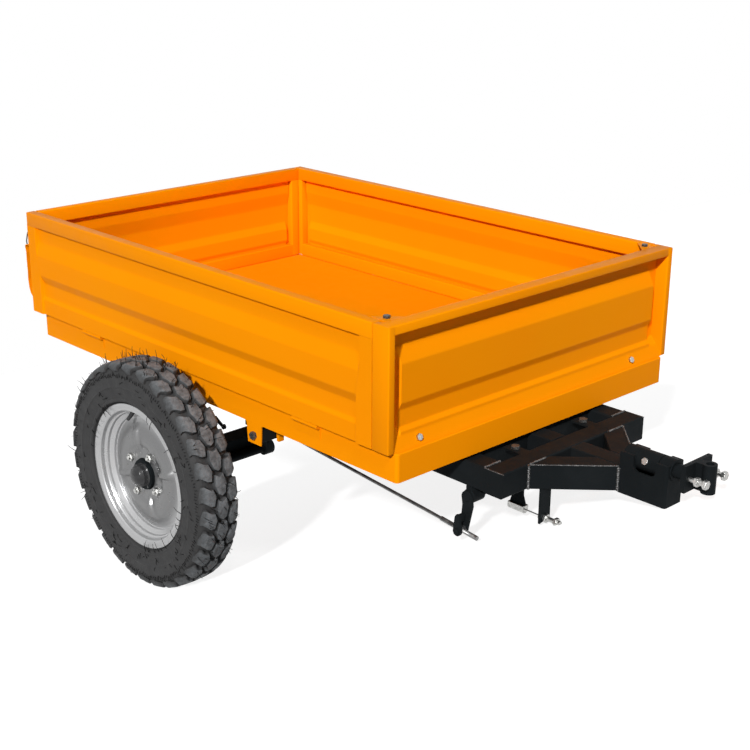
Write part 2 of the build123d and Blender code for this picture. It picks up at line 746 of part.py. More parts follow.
for side, s in (("left", 1), ("right", -1)):
    with BuildPart() as stub:
        with BuildSketch(along(s * carrier_in)):
            with Locations((axle_x, beam_top - beam_h - plate_h / 2)):
                Rectangle(beam_w, plate_h)
        extrude(amount=-s * (track / 2 - stub_root - carrier_in))
        with BuildSketch(along(s * (track / 2 - stub_root))):
            with Locations((axle_x, axle_z)):
                Circle(spindle_r)
        extrude(amount=-s * spindle_len)
        with BuildSketch(along(s * (track / 2 - drum_len - back_gap))):
            with Locations((axle_x, axle_z)):
                Circle(drum_r + back_over)
        extrude(amount=-s * back_t)
    stub.part.label = f"stub_axle_{side}"
    export_step(stub.part, f"parts/stub_axle_{side}.step")

    with BuildPart() as hanger:
        with BuildSketch(flat(beam_top)):
            with Locations((axle_x, s * (rail_out - rail_w / 2))):
                Rectangle(beam_w + 2 * hanger_over, rail_w)
                Rectangle(
                    beam_w + 2 * (hanger_over - hanger_wall), rail_w - 2 * hanger_wall, mode=Mode.SUBTRACT
                )
        extrude(amount=rail_top - rail_h - beam_top)
    hanger.part.label = f"axle_hanger_{side}"
    export_step(hanger.part, f"parts/axle_hanger_{side}.step")

# wheels
base_r = tyre_r - lug_h
lug_half = math.pi * tyre_r / lug_count * lug_share
lug_tip = math.sqrt(tyre_r ** 2 - lug_half ** 2)
lug_root = base_r - lug_sink
belly = tyre_w / 2
crown = tread_w / 2 - shoulder_w
row_out = row_mid + row_gap
rim_half = rim_w / 2
well_r = rim_r - well_d
mid_lug = [(-row_mid, lug_root), (row_mid, lug_root), (row_mid, lug_tip), (-row_mid, lug_tip)]
shoulder_lug = [
    (row_out, lug_root),
    (row_out, lug_tip - tread_drop / 2),
    (crown, lug_tip - tread_drop),
    (tread_w / 2 + shoulder_out, lug_tip - shoulder_drop),
    (tread_w / 2, base_r - shoulder_drop - shoulder_sink),
]


def spoke(s, turn):
    """Plane through a wheel's axis: sketch x is outward along the axis, sketch y is away from the axis."""
    a = math.radians(turn)
    tangent = (deck.x_dir * math.cos(a) + deck.z_dir * math.sin(a)) * s
    return Plane(origin=at(axle_x, s * track / 2, axle_z), x_dir=deck.y_dir * s, z_dir=tangent)


for side, s in (("left", 1), ("right", -1)):
    mid = s * track / 2
    wheel = Plane(origin=at(axle_x, mid, axle_z), x_dir=deck.y_dir * s, z_dir=deck.x_dir * s)
    spin = line_y(axle_x, axle_z)
    axis_out = deck.y_dir * s
    hub_point = at(axle_x, mid, axle_z)
    with BuildPart() as tyre:
        with BuildSketch(Plane(origin=hub_point, x_dir=deck.x_dir, z_dir=axis_out)):
            RegularPolygon(base_r, facets, major_radius=False)
        extrude(amount=belly, both=True)
        for end in (0, -1):
            face = tyre.faces().sort_by(Axis.Y)[end]
            chamfer(face.edges(), base_r - belly_r, belly - crown, reference=face)
        with BuildSketch(Plane(origin=hub_point, x_dir=deck.x_dir, z_dir=axis_out)):
            RegularPolygon(rim_r + fit, facets, major_radius=False)
        extrude(amount=tyre_w, both=True, mode=Mode.SUBTRACT)
        for out in (axis_out, -axis_out):
            with BuildSketch(Plane(origin=hub_point + out * bead_w, x_dir=deck.x_dir, z_dir=out)):
                RegularPolygon(flange_r + fit, facets, major_radius=False)
            extrude(amount=tyre_w, mode=Mode.SUBTRACT)
        for end in (0, -1):
            face = tyre.faces().sort_by(Axis.Y)[end]
            chamfer(face.inner_wires()[0].edges(), bead_slope, bead_in, reference=face)
        for block, shift in ((mid_lug, 0.5), (shoulder_lug, 0.0)):
            with BuildSketch(*[spoke(s, 360 * (k + shift) / lug_count) for k in range(lug_count)]):
                with BuildLine():
                    Polyline(*block, close=True)
                make_face()
                if shift == 0:
                    mirror(about=Plane.YZ)
            extrude(amount=lug_half, both=True)
    tyre.part.label = f"tyre_{side}"
    export_step(tyre.part, f"parts/tyre_{side}.step")

    with BuildPart() as rim:
        with BuildSketch(wheel):
            with BuildLine():
                Polyline(
                    (-rim_half, flange_r),
                    (flange_t - rim_half, flange_r),
                    (flange_foot - rim_half, rim_r),
                    (ledge_w - rim_half, rim_r),
                    (ledge_w + well_slope - rim_half, well_r),
                    (rim_half - ledge_w - well_slope, well_r),
                    (rim_half - ledge_w, rim_r),
                    (rim_half - flange_foot, rim_r),
                    (rim_half - flange_t, flange_r),
                    (rim_half, flange_r),
                    (rim_half, rim_r - rim_t),
                    (rim_half - ledge_w + flange_t, rim_r - rim_t),
                    (rim_half - ledge_w + flange_t - well_slope, well_r - rim_t),
                    (disc_out, well_r - rim_t),
                    (disc_foot_out, well_r - rim_t - disc_foot),
                    disc_crest,
                    (disc_face, disc_bowl_r),
                    (disc_face, hub_r),
                    (disc_seat, hub_r),
                    (disc_seat, disc_bowl_in),
                    disc_crest_in,
                    (disc_back_out, well_r - rim_t - disc_back_foot),
                    (disc_in, well_r - rim_t),
                    (ledge_w - flange_t + well_slope - rim_half, well_r - rim_t),
                    (ledge_w - flange_t - rim_half, rim_r - rim_t),
                    (-rim_half, rim_r - rim_t),
                    close=True,
                )
            make_face()
        revolve(axis=spin)
    rim.part.label = f"rim_{side}"
    export_step(rim.part, f"parts/rim_{side}.step")

    with BuildPart() as hub:
        with BuildSketch(wheel):
            with BuildLine():
                Polyline(
                    (-hub_rear, spindle_r + spin_gap),
                    (hub_face, spindle_r + spin_gap),
                    (hub_face, hub_r - hub_lip),
                    (disc_seat, hub_r - hub_lip),
                    (disc_seat, stud_circle + stud_land),
                    (drum_web, stud_circle + stud_land),
                    (drum_web, drum_r),
                    (-drum_len, drum_r),
                    (-drum_len, drum_r - drum_wall),
                    (-drum_web, drum_r - drum_wall),
                    (-drum_web, hub_r),
                    (-hub_rear, hub_r),
                    close=True,
                )
            make_face()
        revolve(axis=spin)
    hub.part.label = f"hub_{side}"
    export_step(hub.part, f"parts/hub_{side}.step")

    with BuildPart() as hub_cap:
        with BuildSketch(wheel):
            with BuildLine():
                Polyline(
                    (hub_face, 0),
                    (hub_face + cap_len, 0),
                    (hub_face + cap_len, cap_r - cap_dome),
                    (hub_face + cap_len - cap_crown, cap_r),
                    (hub_face + cap_flange, cap_r),
                    (hub_face + cap_flange, hub_r - cap_edge),
                    (hub_face, hub_r - cap_edge),
                    close=True,
                )
            make_face()
        revolve(axis=spin)
    hub_cap.part.label = f"hub_cap_{side}"
    export_step(hub_cap.part, f"parts/hub_cap_{side}.step")

# hinges of the drop boards: fixed leaf with two end knuckles and a pin, and the board's own knuckle
leaf_len = hinge_len / 3
for side, s in (("left", 1), ("right", -1)):
    with BuildPart() as hinge:
        for x in (side_hinge_x, -side_hinge_x):
            for x0 in (x - hinge_len / 2, x + hinge_len / 2 - leaf_len):
                with BuildSketch(across(x0)):
                    with Locations((s * hinge_y, hinge_z)):
                        Circle(barrel_r)
                    with Locations((s * (hinge_y + tray_wid / 2) / 2, hinge_z - barrel_r + bridge_t / 2)):
                        Rectangle(hinge_y - tray_wid / 2, bridge_t)
                extrude(amount=leaf_len)
            with BuildSketch(across(x - hinge_len / 2)):
                with Locations((s * (tray_wid / 2 + leaf_t / 2), -tray_gap - tray_t - leaf_h / 2)):
                    Rectangle(leaf_t, leaf_h)
                with Locations((s * hinge_y, hinge_z)):
                    Circle(pin_hinge_r)
            extrude(amount=hinge_len)
    hinge.part.label = f"side_hinges_{side}"
    export_step(hinge.part, f"parts/side_hinges_{side}.step")

    with BuildPart() as knuckles:
        for x in (side_hinge_x, -side_hinge_x):
            with BuildSketch(across(x - leaf_len / 2 + knuckle_gap)):
                with Locations((s * hinge_y, hinge_z)):
                    Circle(barrel_r)
                with Locations((s * hinge_y, hinge_z / 2)):
                    Rectangle(2 * (barrel_r - lap), -hinge_z)
                with Locations((s * hinge_y, hinge_z)):
                    Circle(pin_hinge_r + pin_gap, mode=Mode.SUBTRACT)
            extrude(amount=leaf_len - 2 * knuckle_gap)
    knuckles.part.label = f"side_board_knuckles_{side}"
    export_step(knuckles.part, f"parts/side_board_knuckles_{side}.step")

with BuildPart() as gate_hinges:
    for y in (gate_hinge_y, -gate_hinge_y):
        for y0 in (y + hinge_len / 2, y - hinge_len / 2 + leaf_len):
            with BuildSketch(along(y0)):
                with Locations((gate_hinge_x, gate_hinge_z)):
                    Circle(barrel_r)
                with Locations(((tray_x0 + gate_hinge_x) / 2, gate_hinge_z - barrel_r + bridge_t / 2)):
                    Rectangle(tray_x0 - gate_hinge_x, bridge_t)
            extrude(amount=leaf_len)
        with BuildSketch(along(y + hinge_len / 2)):
            with Locations((tray_x0 - leaf_t / 2, -tray_gap - tray_t - leaf_h / 2)):
                Rectangle(leaf_t, leaf_h)
            with Locations((gate_hinge_x, gate_hinge_z)):
                Circle(pin_hinge_r)
        extrude(amount=hinge_len)
gate_hinges.part.label = "tailgate_hinges"
export_step(gate_hinges.part, "parts/tailgate_hinges.step")

with BuildPart() as gate_knuckles:
    for y in (gate_hinge_y, -gate_hinge_y):
        with BuildSketch(along(y + leaf_len / 2 - knuckle_gap)):
            with Locations((gate_hinge_x, gate_hinge_z)):
                Circle(barrel_r)
            with Locations((gate_hinge_x + lap, gate_hinge_z / 2)):
                Rectangle(2 * (barrel_r - lap), -gate_hinge_z)
            with Locations((gate_hinge_x, gate_hinge_z)):
                Circle(pin_hinge_r + pin_gap, mode=Mode.SUBTRACT)
        extrude(amount=leaf_len - 2 * knuckle_gap)
gate_knuckles.part.label = "tailgate_knuckles"
export_step(gate_knuckles.part, "parts/tailgate_knuckles.step")

# latch at each end of the tailgate, over the side board's end: a curved handle with its wire bail
latch_y = gate_half - latch_on + latch_w / 2
for side, s in (("left", 1), ("right", -1)):
    with BuildPart() as latch:
        for outline, wide in ((latch_handle, latch_w), (latch_bail, bail_t)):
            with BuildSketch(along(s * latch_y + wide / 2)):
                with BuildLine():
                    Polyline(*[(rear_x - d, h) for d, h in outline], close=True)
                make_face()
            extrude(amount=wide)
    latch.part.label = f"tailgate_latch_{side}"
    export_step(latch.part, f"parts/tailgate_latch_{side}.step")

# bolts that hold the box: tray tabs, ears, front board's lip and corner gussets
m8 = (m8_r, m8_af, m8_head)
m10 = (m10_r, m10_af, m10_head)
with BuildPart() as bed_bolts:
    for s, lip_y in zip((1, -1), lip_bolts_y):
        for spot, out, (r, af, head), grip in (
            (at(cross_x, s * tray_wid / 2, tab_bolt_z), deck.y_dir * s, m10, tray_t + fit / 2),
            (at(ear_bolt_x, s * ear_y, rail_top), deck.z_dir, m10, 2 * rail_wall),
            (at(lip_bolt_x, lip_y, lip_bolt_z), lip_face.normalized(), m8, 3 * sheet_t),
            (at(corner_bolt_x, s * corner_bolt_y, board_h), deck.z_dir, m8, 4 * gusset_t),
        ):
            with BuildSketch(Plane(origin=spot, z_dir=out)):
                RegularPolygon(af / 2, 6, major_radius=False)
            extrude(amount=head)
            with BuildSketch(Plane(origin=spot, z_dir=-out)):
                Circle(r)
            extrude(amount=grip)
bed_bolts.part.label = "bed_bolts"
export_step(bed_bolts.part, "parts/bed_bolts.step")

# brakes: cross shaft with its middle lever, and a bearing tube under each rail
lever_in = shaft_half - lever_t
with BuildPart() as brake_shaft:
    with BuildSketch(along(shaft_half)):
        with Locations((shaft_x, shaft_z)):
            Circle(shaft_r)
    extrude(amount=2 * shaft_half)
    with BuildSketch(along(mid_y + mid_t / 2)):
        with Locations((shaft_x, shaft_z)):
            Circle(bearing_r)
        with BuildLine():
            Polyline(
                (shaft_x - mid_w / 2, shaft_z),
                (shaft_x - mid_w / 2, shaft_z - mid_drop + mid_flare),
                (shaft_x - mid_foot / 2, shaft_z - mid_drop),
                (shaft_x + mid_foot / 2, shaft_z - mid_drop),
                (shaft_x + mid_w / 2, shaft_z - mid_drop + mid_flare),
                (shaft_x + mid_w / 2, shaft_z),
                close=True,
            )
        make_face()
    extrude(amount=mid_t)
brake_shaft.part.label = "brake_cross_shaft"
export_step(brake_shaft.part, "parts/brake_cross_shaft.step")

bearing_half = (lever_in - seat - bearing_in) / 2
with BuildPart() as shaft_brackets:
    for y in (lever_in - seat, -bearing_in):
        with BuildSketch(along(y)):
            with Locations((shaft_x, shaft_z)):
                Circle(bearing_r)
            with Locations((shaft_x, (rail_top - rail_h + shaft_z) / 2)):
                Rectangle(bearing_r, rail_top - rail_h - shaft_z)
            with Locations((shaft_x, shaft_z)):
                Circle(shaft_r + seat, mode=Mode.SUBTRACT)
        extrude(amount=2 * bearing_half)
shaft_brackets.part.label = "brake_shaft_brackets"
export_step(shaft_brackets.part, "parts/brake_shaft_brackets.step")

# a lever at each end of the shaft, a camshaft beside the axle and the rod between the two
cam_x = axle_x + beam_w / 2 + 2 * seat + cam_r
cam_lever_in = rail_out + seat
rod_y = shaft_half + seat + block_w / 2
for side, s in (("left", 1), ("right", -1)):
    with BuildPart() as lever:
        with BuildSketch(along(s * lever_in)):
            with BuildLine():
                Polyline(
                    (shaft_x - lever_r, shaft_z),
                    (shaft_x + lever_r, shaft_z),
                    (shaft_x + lever_r + neck_front, shaft_z - lever_neck),
                    (lever_x + foot_r, lever_z),
                    (lever_x - foot_r, lever_z),
                    (shaft_x - lever_r + neck_rear, shaft_z - lever_neck),
                    close=True,
                )
            make_face()
            with Locations((shaft_x, shaft_z)):
                Circle(lever_r)
            with Locations((lever_x, lever_z)):
                Circle(foot_r)
            with Locations((lever_x, lever_z)):
                Circle(trunnion_r + seat, mode=Mode.SUBTRACT)
            with Locations((shaft_x, shaft_z)):
                Circle(shaft_r + seat, mode=Mode.SUBTRACT)
        extrude(amount=-s * lever_t)
    lever.part.label = f"brake_lever_{side}"
    export_step(lever.part, f"parts/brake_lever_{side}.step")

    with BuildPart() as camshaft:
        with BuildSketch(along(s * boss_in)):
            with Locations((cam_x, cam_z)):
                Circle(cam_r)
        extrude(amount=-s * (track / 2 - drum_len - back_gap - seat - boss_in))
        with BuildSketch(along(s * boss_in)):
            with Locations((cam_x, cam_z)):
                Circle(boss_r)
        extrude(amount=-s * (cam_lever_in - boss_in))
        with BuildSketch(along(s * cam_lever_in)):
            with BuildLine():
                Polyline(
                    (cam_x - cam_r + fit, cam_z),
                    (cam_x - cam_r + fit, beam_top + seat),
                    (cam_lever_x - lever_foot_r, cam_lever_z),
                    (cam_lever_x + lever_foot_r, cam_lever_z),
                    (cam_x + cam_r - fit, beam_top + seat),
                    (cam_x + boss_r - fit, cam_z),
                    close=True,
                )
            make_face()
            with Locations((cam_x, cam_z)):
                Circle(boss_r)
            with Locations((cam_lever_x, cam_lever_z)):
                Circle(lever_foot_r)
            with Locations((cam_lever_x, cam_lever_z)):
                Circle(rod_r + seat, mode=Mode.SUBTRACT)
        extrude(amount=-s * lever_t)
        with BuildSketch(along(s * (boss_in - fit))):
            with Locations((axle_x, (beam_top + axle_z - beam_w) / 2)):
                Rectangle(beam_w + 2 * seat, beam_w + beam_top - axle_z + 2 * seat)
        extrude(amount=-s * (cam_lever_in + lever_t + 2 * fit - boss_in), mode=Mode.SUBTRACT)
    camshaft.part.label = f"brake_camshaft_{side}"
    export_step(camshaft.part, f"parts/brake_camshaft_{side}.step")

    rod_end = (thread_to, lever_z + (lever_x - thread_to) * rod_fall)
    route = [(cam_lever_x, cam_lever_z), *rod_bends, rod_end]
    start, end = Vector(*route[-2]), Vector(*route[-1])
    aim = (end - start).normalized()
    thread_aim = deck.x_dir * aim.X + deck.z_dir * aim.Y
    with BuildPart() as rod:
        with BuildLine():
            path = FilletPolyline(*[tuple(at(x, s * rod_y, z)) for x, z in route], radius=rod_bend_r)
        with BuildSketch(Plane(origin=path @ 0, z_dir=path % 0)):
            Circle(rod_r)
        sweep()
        with BuildSketch(along(s * cam_lever_in)):
            with Locations((cam_lever_x, cam_lever_z)):
                Circle(rod_r - seat)
        extrude(amount=-s * (rod_y - cam_lever_in))
        with BuildSketch(along(s * lever_in)):
            with Locations((lever_x, lever_z)):
                Circle(trunnion_r)
        extrude(amount=-s * (lever_t + block_w))
        with BuildSketch(along(s * (shaft_half + seat))):
            with Locations((lever_x, lever_z)):
                Circle(block_r)
        extrude(amount=-s * block_w)
        tip = start + aim * (thread_from - start.X)
        with BuildSketch(Plane(origin=at(tip.X, s * rod_y, tip.Y), z_dir=thread_aim)):
            Circle(thread_r)
        extrude(amount=(end - tip).length)
    rod.part.label = f"brake_rod_{side}"
    export_step(rod.part, f"parts/brake_rod_{side}.step")

# brake wire: clamp at the middle lever's foot, the wire, and its adjuster in a bar under the drawbar
clamp_z = shaft_z - mid_drop - clamp_r
with BuildPart() as clamp:
    with BuildSketch(across(shaft_x - clamp_half)):
        with Locations((mid_y, clamp_z)):
            Circle(clamp_r)
        with Locations((mid_y, clamp_z + clamp_r / 2)):
            Rectangle(2 * clamp_r, clamp_r)
    extrude(amount=2 * clamp_half)
clamp.part.label = "cable_clamp"
export_step(clamp.part, "parts/cable_clamp.step")

with BuildPart() as stop_bar:
    with BuildSketch(across(stop_x)):
        with BuildLine():
            Polyline(
                (stop_y - stop_wid / 2, rail_top - rail_h),
                (stop_y + stop_wid / 2, rail_top - rail_h),
                (stop_y + stop_wid / 2, rail_top - rail_h - stop_drop + stop_slant),
                (stop_y - stop_wid / 2, rail_top - rail_h - stop_drop),
                close=True,
            )
        make_face()
        with Locations((stop_y, adjuster_z)):
            Circle(adjuster_r + bolt_gap, mode=Mode.SUBTRACT)
    extrude(amount=stop_t)
stop_bar.part.label = "cable_stop_post"
export_step(stop_bar.part, "parts/cable_stop_post.step")

adjuster_x = stop_x - m10_head - fit
with BuildPart() as adjuster:
    with BuildSketch(across(adjuster_x)):
        with Locations((stop_y, adjuster_z)):
            Circle(adjuster_r)
    extrude(amount=stop_x + adjuster_len - adjuster_x)
    for x, af, length in (
        (stop_x - m10_head, m10_af, m10_head),
        (stop_x + stop_t, m10_af, m10_head),
        (stop_x + adjuster_len - 2 * m10_head, m10_af, m10_head),
    ):
        with BuildSketch(across(x)):
            with Locations((stop_y, adjuster_z)):
                RegularPolygon(af / 2, 6, major_radius=False)
        extrude(amount=length)
adjuster.part.label = "cable_adjuster"
export_step(adjuster.part, "parts/cable_adjuster.step")

wire_from = at(shaft_x + clamp_half, mid_y, clamp_z)
wire_to = at(adjuster_x, stop_y, adjuster_z)
wire_aim = (wire_to - wire_from).normalized()
with BuildPart() as wire:
    with BuildSketch(Plane(origin=wire_from + wire_aim * fit, z_dir=wire_aim)):
        Circle(wire_r)
    extrude(amount=(wire_to - wire_from).length - 2 * fit)
wire.part.label = "brake_cable"
export_step(wire.part, "parts/brake_cable.step")

# bolts of the hitch eye's clevis plate
with BuildPart() as clevis_bolts:
    for y in (clevis_bolt_y, -clevis_bolt_y):
        with BuildSketch(across(plate_x + plate_t)):
            with Locations((y, eye_z)):
                Circle(m10_r)
        extrude(amount=clevis_bolt_len - m12_head)
        for x in (clevis_nut, clevis_bolt_len - m12_head):
            with BuildSketch(across(plate_x + plate_t + x)):
                with Locations((y, eye_z)):
                    RegularPolygon(m10_af / 2, 6, major_radius=False)
            extrude(amount=m12_head)
clevis_bolts.part.label = "hitch_stop_bolts"
export_step(clevis_bolts.part, "parts/hitch_stop_bolts.step")
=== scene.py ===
"""Garden tractor trailer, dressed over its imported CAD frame.

Laid out as an add-on: sizes and colours in property groups, one operator for each group of pieces and one
for the stage, and a panel that lists them. Points are given in trailer coordinates, in millimetres: x
forward from the middle of the box, y to the left, z up from the side boards' lower edge. place() leans them
with the deck into the row frame, in metres.
"""

import math

import bmesh
import bpy
import numpy as np
from mathutils import Matrix, Vector


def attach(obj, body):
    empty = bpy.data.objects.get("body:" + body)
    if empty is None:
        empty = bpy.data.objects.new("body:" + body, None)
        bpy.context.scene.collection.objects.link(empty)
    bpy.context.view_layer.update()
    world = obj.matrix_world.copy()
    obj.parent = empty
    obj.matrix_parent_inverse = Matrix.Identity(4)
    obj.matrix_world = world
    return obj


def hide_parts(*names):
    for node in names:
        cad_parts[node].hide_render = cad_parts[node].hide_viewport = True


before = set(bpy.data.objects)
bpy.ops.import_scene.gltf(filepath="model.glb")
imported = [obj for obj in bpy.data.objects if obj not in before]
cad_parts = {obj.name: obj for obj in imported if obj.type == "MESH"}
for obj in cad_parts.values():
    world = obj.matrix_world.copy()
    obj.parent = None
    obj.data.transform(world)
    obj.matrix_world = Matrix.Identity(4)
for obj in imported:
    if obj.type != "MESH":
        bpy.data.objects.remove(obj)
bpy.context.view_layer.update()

bl_info = {
    "name": "Garden Tractor Trailer",
    "version": (1, 0, 0),
    "blender": (4, 5, 0),
    "location": "3D View > Sidebar > Trailer",
    "description": "Builds the boards, wheels, chassis, hitch and brakes of a garden tractor trailer",
    "category": "Object",
}

# the parked lean and the row frame, from the same sizes as the part's source
AXLE = (-32.0, -226.0)
BOX_EDGE = (997.0, -127.0)
EYE = (1072.0, -44.0)
TYRE_R = 265.0
BED_LEN = 1300.0
BED_WID = 900.0
BOARD_H = 256.0
TRACK = 1060.0
# the boards: their sheet and whole thicknesses, the foot of the top tube and the top of the foot tube
SHEET_T = 2.0
SIDE_T = 25.0
GATE_T = 22.0
TOP_TUBE = 222.0
FOOT_TUBE = 34.0
# the front board's corner posts and cap rail
POST_WID = 17.0
POST_DEPTH = 46.0
CAP_DEPTH = 34.0
CAP_H = 19.0
# roundings of the tubes' edges
TUBE_EDGE = 2.6
POST_EDGE = 2.4
UPRIGHT_EDGE = 2.2
# the drawbar's top and foot, the front crossbeam's two faces, the arms' ends and the brake rods' front end
CHASSIS_TOP = -70.0
CHASSIS_FOOT = -124.0
CROSSBEAM = (704.0, 755.0)
ARM_END = (882.5, 29.0)
ROD_END = (655.0, -221.0)
LEAN = math.asin(TYRE_R / math.hypot(BOX_EDGE[0] - AXLE[0], BOX_EDGE[1] - AXLE[1])) + math.atan2(
    BOX_EDGE[1] - AXLE[1], BOX_EDGE[0] - AXLE[0]
)
FWD = np.array([math.cos(LEAN), 0.0, -math.sin(LEAN)])
LEFT = np.array([0.0, 1.0, 0.0])
RISE = np.array([math.sin(LEAN), 0.0, math.cos(LEAN)])
ORIGIN = -(EYE[0] * FWD + EYE[1] * RISE)


def turned(v):
    """Trailer directions in the row frame: each row's x, y and z along forward, left and up of the deck."""
    v = np.asarray(v, float)
    return v[..., :1] * FWD + v[..., 1:2] * LEFT + v[..., 2:3] * RISE


def place(p):
    """Trailer points (mm) in the row frame (m): the origin's point plus the turned coordinates."""
    return (ORIGIN + turned(p)) / 1000.0


# ---------------------------------------------------------------- meshes
def mesh_object(name, verts, faces, smooth=40.0):
    """An object at the origin whose mesh has these row-frame points and faces, smooth below an angle."""
    me = bpy.data.meshes.new(name)
    me.from_pydata(np.asarray(verts, float).tolist(), [], [list(map(int, f)) for f in faces])
    me.validate()
    me.polygons.foreach_set("use_smooth", np.ones(len(me.polygons), bool))
    ob = bpy.data.objects.new(name, me)
    bpy.context.scene.collection.objects.link(ob)
    me.set_sharp_from_angle(angle=math.radians(smooth))
    return ob


def grid_faces(m, n, wrap_m=False, wrap_n=False):
    """Quads over an m by n grid of points numbered row by row, closed along either side if asked."""
    i = np.arange(m if wrap_m else m - 1)[:, None]
    j = np.arange(n if wrap_n else n - 1)[None, :]
    a = i * n + j
    b = i * n + (j + 1) % n
    c = ((i + 1) % m) * n + (j + 1) % n
    d = ((i + 1) % m) * n + j
    return np.stack([a, b, c, d], -1).reshape(-1, 4).tolist()


class Shape:
    """Points and faces gathered from several surfaces, then made one mesh."""

    def __init__(self):
        self.verts = []
        self.faces = []
        self.count = 0

    def add(self, pts, faces):
        """Takes in a surface's points and its faces, which number those points from 0."""
        pts = np.asarray(pts, float).reshape(-1, 3)
        self.verts.append(pts)
        self.faces += [[v + self.count for v in f] for f in faces]
        self.count += len(pts)

    def grid(self, pts, wrap_m=False, wrap_n=False, ends=False):
        """A grid of points (m, n, 3); ends closes the first and last row of a tube with a face."""
        pts = np.asarray(pts, float)
        m, n = pts.shape[:2]
        faces = grid_faces(m, n, wrap_m, wrap_n)
        if ends:
            faces += [list(range(n))[::-1], list(range((m - 1) * n, m * n))]
        self.add(pts, faces)

    def make(self, name, smooth=40.0):
        """The mesh object: shared points merged, faces turned outwards, smooth below an angle."""
        ob = mesh_object(name, place(np.concatenate(self.verts)), self.faces, smooth)
        outward(ob, merge=True)
        ob.data.set_sharp_from_angle(angle=math.radians(smooth))
        return ob


def outward(ob, merge=False):
    """Turns every face of a mesh made of closed shells outwards, with coinciding points merged if asked."""
    bm = bmesh.new()
    bm.from_mesh(ob.data)
    if merge:
        bmesh.ops.remove_doubles(bm, verts=bm.verts, dist=1e-6)
    bmesh.ops.recalc_face_normals(bm, faces=bm.faces)
    bm.to_mesh(ob.data)
    bm.free()


def ring_points(centre, axis, radius, n):
    """n points round a circle: centre + radius (cos t u + sin t v), u and v square to the axis."""
    axis = np.asarray(axis, float)
    axis = axis / np.linalg.norm(axis)
    side = np.cross(axis, [0, 0, 1.0])
    if np.linalg.norm(side) < 1e-6:
        side = np.array([1.0, 0, 0])
    side = side / np.linalg.norm(side)
    up = np.cross(axis, side)
    t = np.linspace(0, 2 * math.pi, n, endpoint=False)[:, None]
    return np.asarray(centre, float) + radius * (np.cos(t) * side + np.sin(t) * up)


def lathe(shape, centre, axis, profile, n):
    """A profile of (along the axis, radius) turned about the axis; a zero radius closes the end."""
    axis = np.asarray(axis, float) / np.linalg.norm(axis)
    centre = np.asarray(centre, float)
    rows = [ring_points(centre + axis * a, axis, max(r, 1e-4), n) for a, r in profile]
    shape.grid(np.stack(rows), wrap_n=True)


def hexagon(shape, centre, axis, flats, length, bevel=1.0):
    """A bolt head or nut: six flats, its corners cut back over the bevel at the outer end."""
    r = flats / math.sqrt(3)
    lathe(shape, centre, axis, [(0.0, r), (length - bevel, r), (length, r - bevel * 1.3), (length, 0.0)], 6)


def tube(shape, path, radius, n):
    """A round section carried along the points of a path, each ring square to the path's direction."""
    p = np.asarray(path, float)
    t = np.gradient(p, axis=0)
    t /= np.linalg.norm(t, axis=1)[:, None]
    ref = np.array([0.0, 0.0, 1.0]) if abs(t[0][2]) < 0.9 else np.array([1.0, 0.0, 0.0])
    u = np.empty_like(p)
    u[0] = np.cross(t[0], ref)
    u[0] /= np.linalg.norm(u[0])
    for i in range(1, len(p)):
        w = u[i - 1] - t[i] * (u[i - 1] @ t[i])
        u[i] = w / np.linalg.norm(w)
    v = np.cross(t, u)
    a = np.linspace(0, 2 * math.pi, n, endpoint=False)
    r = np.broadcast_to(np.asarray(radius, float).reshape(-1, 1, 1), (len(p), 1, 1))
    pts = p[:, None] + r * (np.cos(a)[None, :, None] * u[:, None] + np.sin(a)[None, :, None] * v[:, None])
    shape.grid(pts, wrap_n=True, ends=True)


def rounded(points, radius, steps=4):
    """An open line of 2-D points with each inner corner swapped for an arc that touches both sides."""
    pts = [np.asarray(p, float) for p in points]
    out = [pts[0]]
    for a, b, c in zip(pts, pts[1:], pts[2:]):
        u = (a - b) / np.linalg.norm(a - b)
        v = (c - b) / np.linalg.norm(c - b)
        half = math.acos(max(-1.0, min(1.0, float(u @ v)))) / 2
        wanted = radius / math.tan(half) if half > 1e-3 else 0
        reach = min(wanted, np.linalg.norm(a - b) / 2, np.linalg.norm(c - b) / 2)
        r = reach * math.tan(half)
        if half > math.pi / 2 - 0.02 or r < 0.05:
            out.append(b)
            continue
        mid = b + (u + v) / np.linalg.norm(u + v) * (r / math.sin(half))
        s0, s1 = b + u * reach - mid, b + v * reach - mid
        for k in range(steps + 1):
            w = k / steps
            ang = math.acos(max(-1.0, min(1.0, float(s0 @ s1) / r ** 2)))
            f0 = math.sin((1 - w) * ang) / math.sin(ang) if ang > 1e-6 else 1 - w
            f1 = math.sin(w * ang) / math.sin(ang) if ang > 1e-6 else w
            out.append(mid + s0 * f0 + s1 * f1)
    out.append(pts[-1])
    return np.array(out)


def soft_step(x, a, b):
    """0 below a, 1 above b, and an S-curve between."""
    t = np.clip((np.asarray(x, float) - a) / (b - a), 0.0, 1.0)
    return t * t * (3 - 2 * t)


def eased(h, points, radius):
    """The broken line through (height, depth) points with its corners eased over a radius either side."""
    pts = np.asarray(points, float)
    reach = np.linspace(-radius, radius, 9)
    weight = np.cos(reach / radius * math.pi / 2) ** 2
    vals = [np.interp(np.asarray(h, float) + r, pts[:, 0], pts[:, 1]) for r in reach]
    return np.tensordot(weight / weight.sum(), np.array(vals), 1)


def lines(*spans):
    """Grid lines: each span is (from, to, how many steps), joined end to end."""
    out = [np.array([spans[0][0]], float)]
    for a, b, n in spans:
        out.append(np.linspace(a, b, n + 1)[1:])
    return np.unique(np.round(np.concatenate(out), 4))


def side_face(s):
    """Along, depth and height of a side board in trailer coordinates."""
    return lambda u, d, h: np.stack(np.broadcast_arrays(u, s * (BED_WID / 2 - d), h), -1)


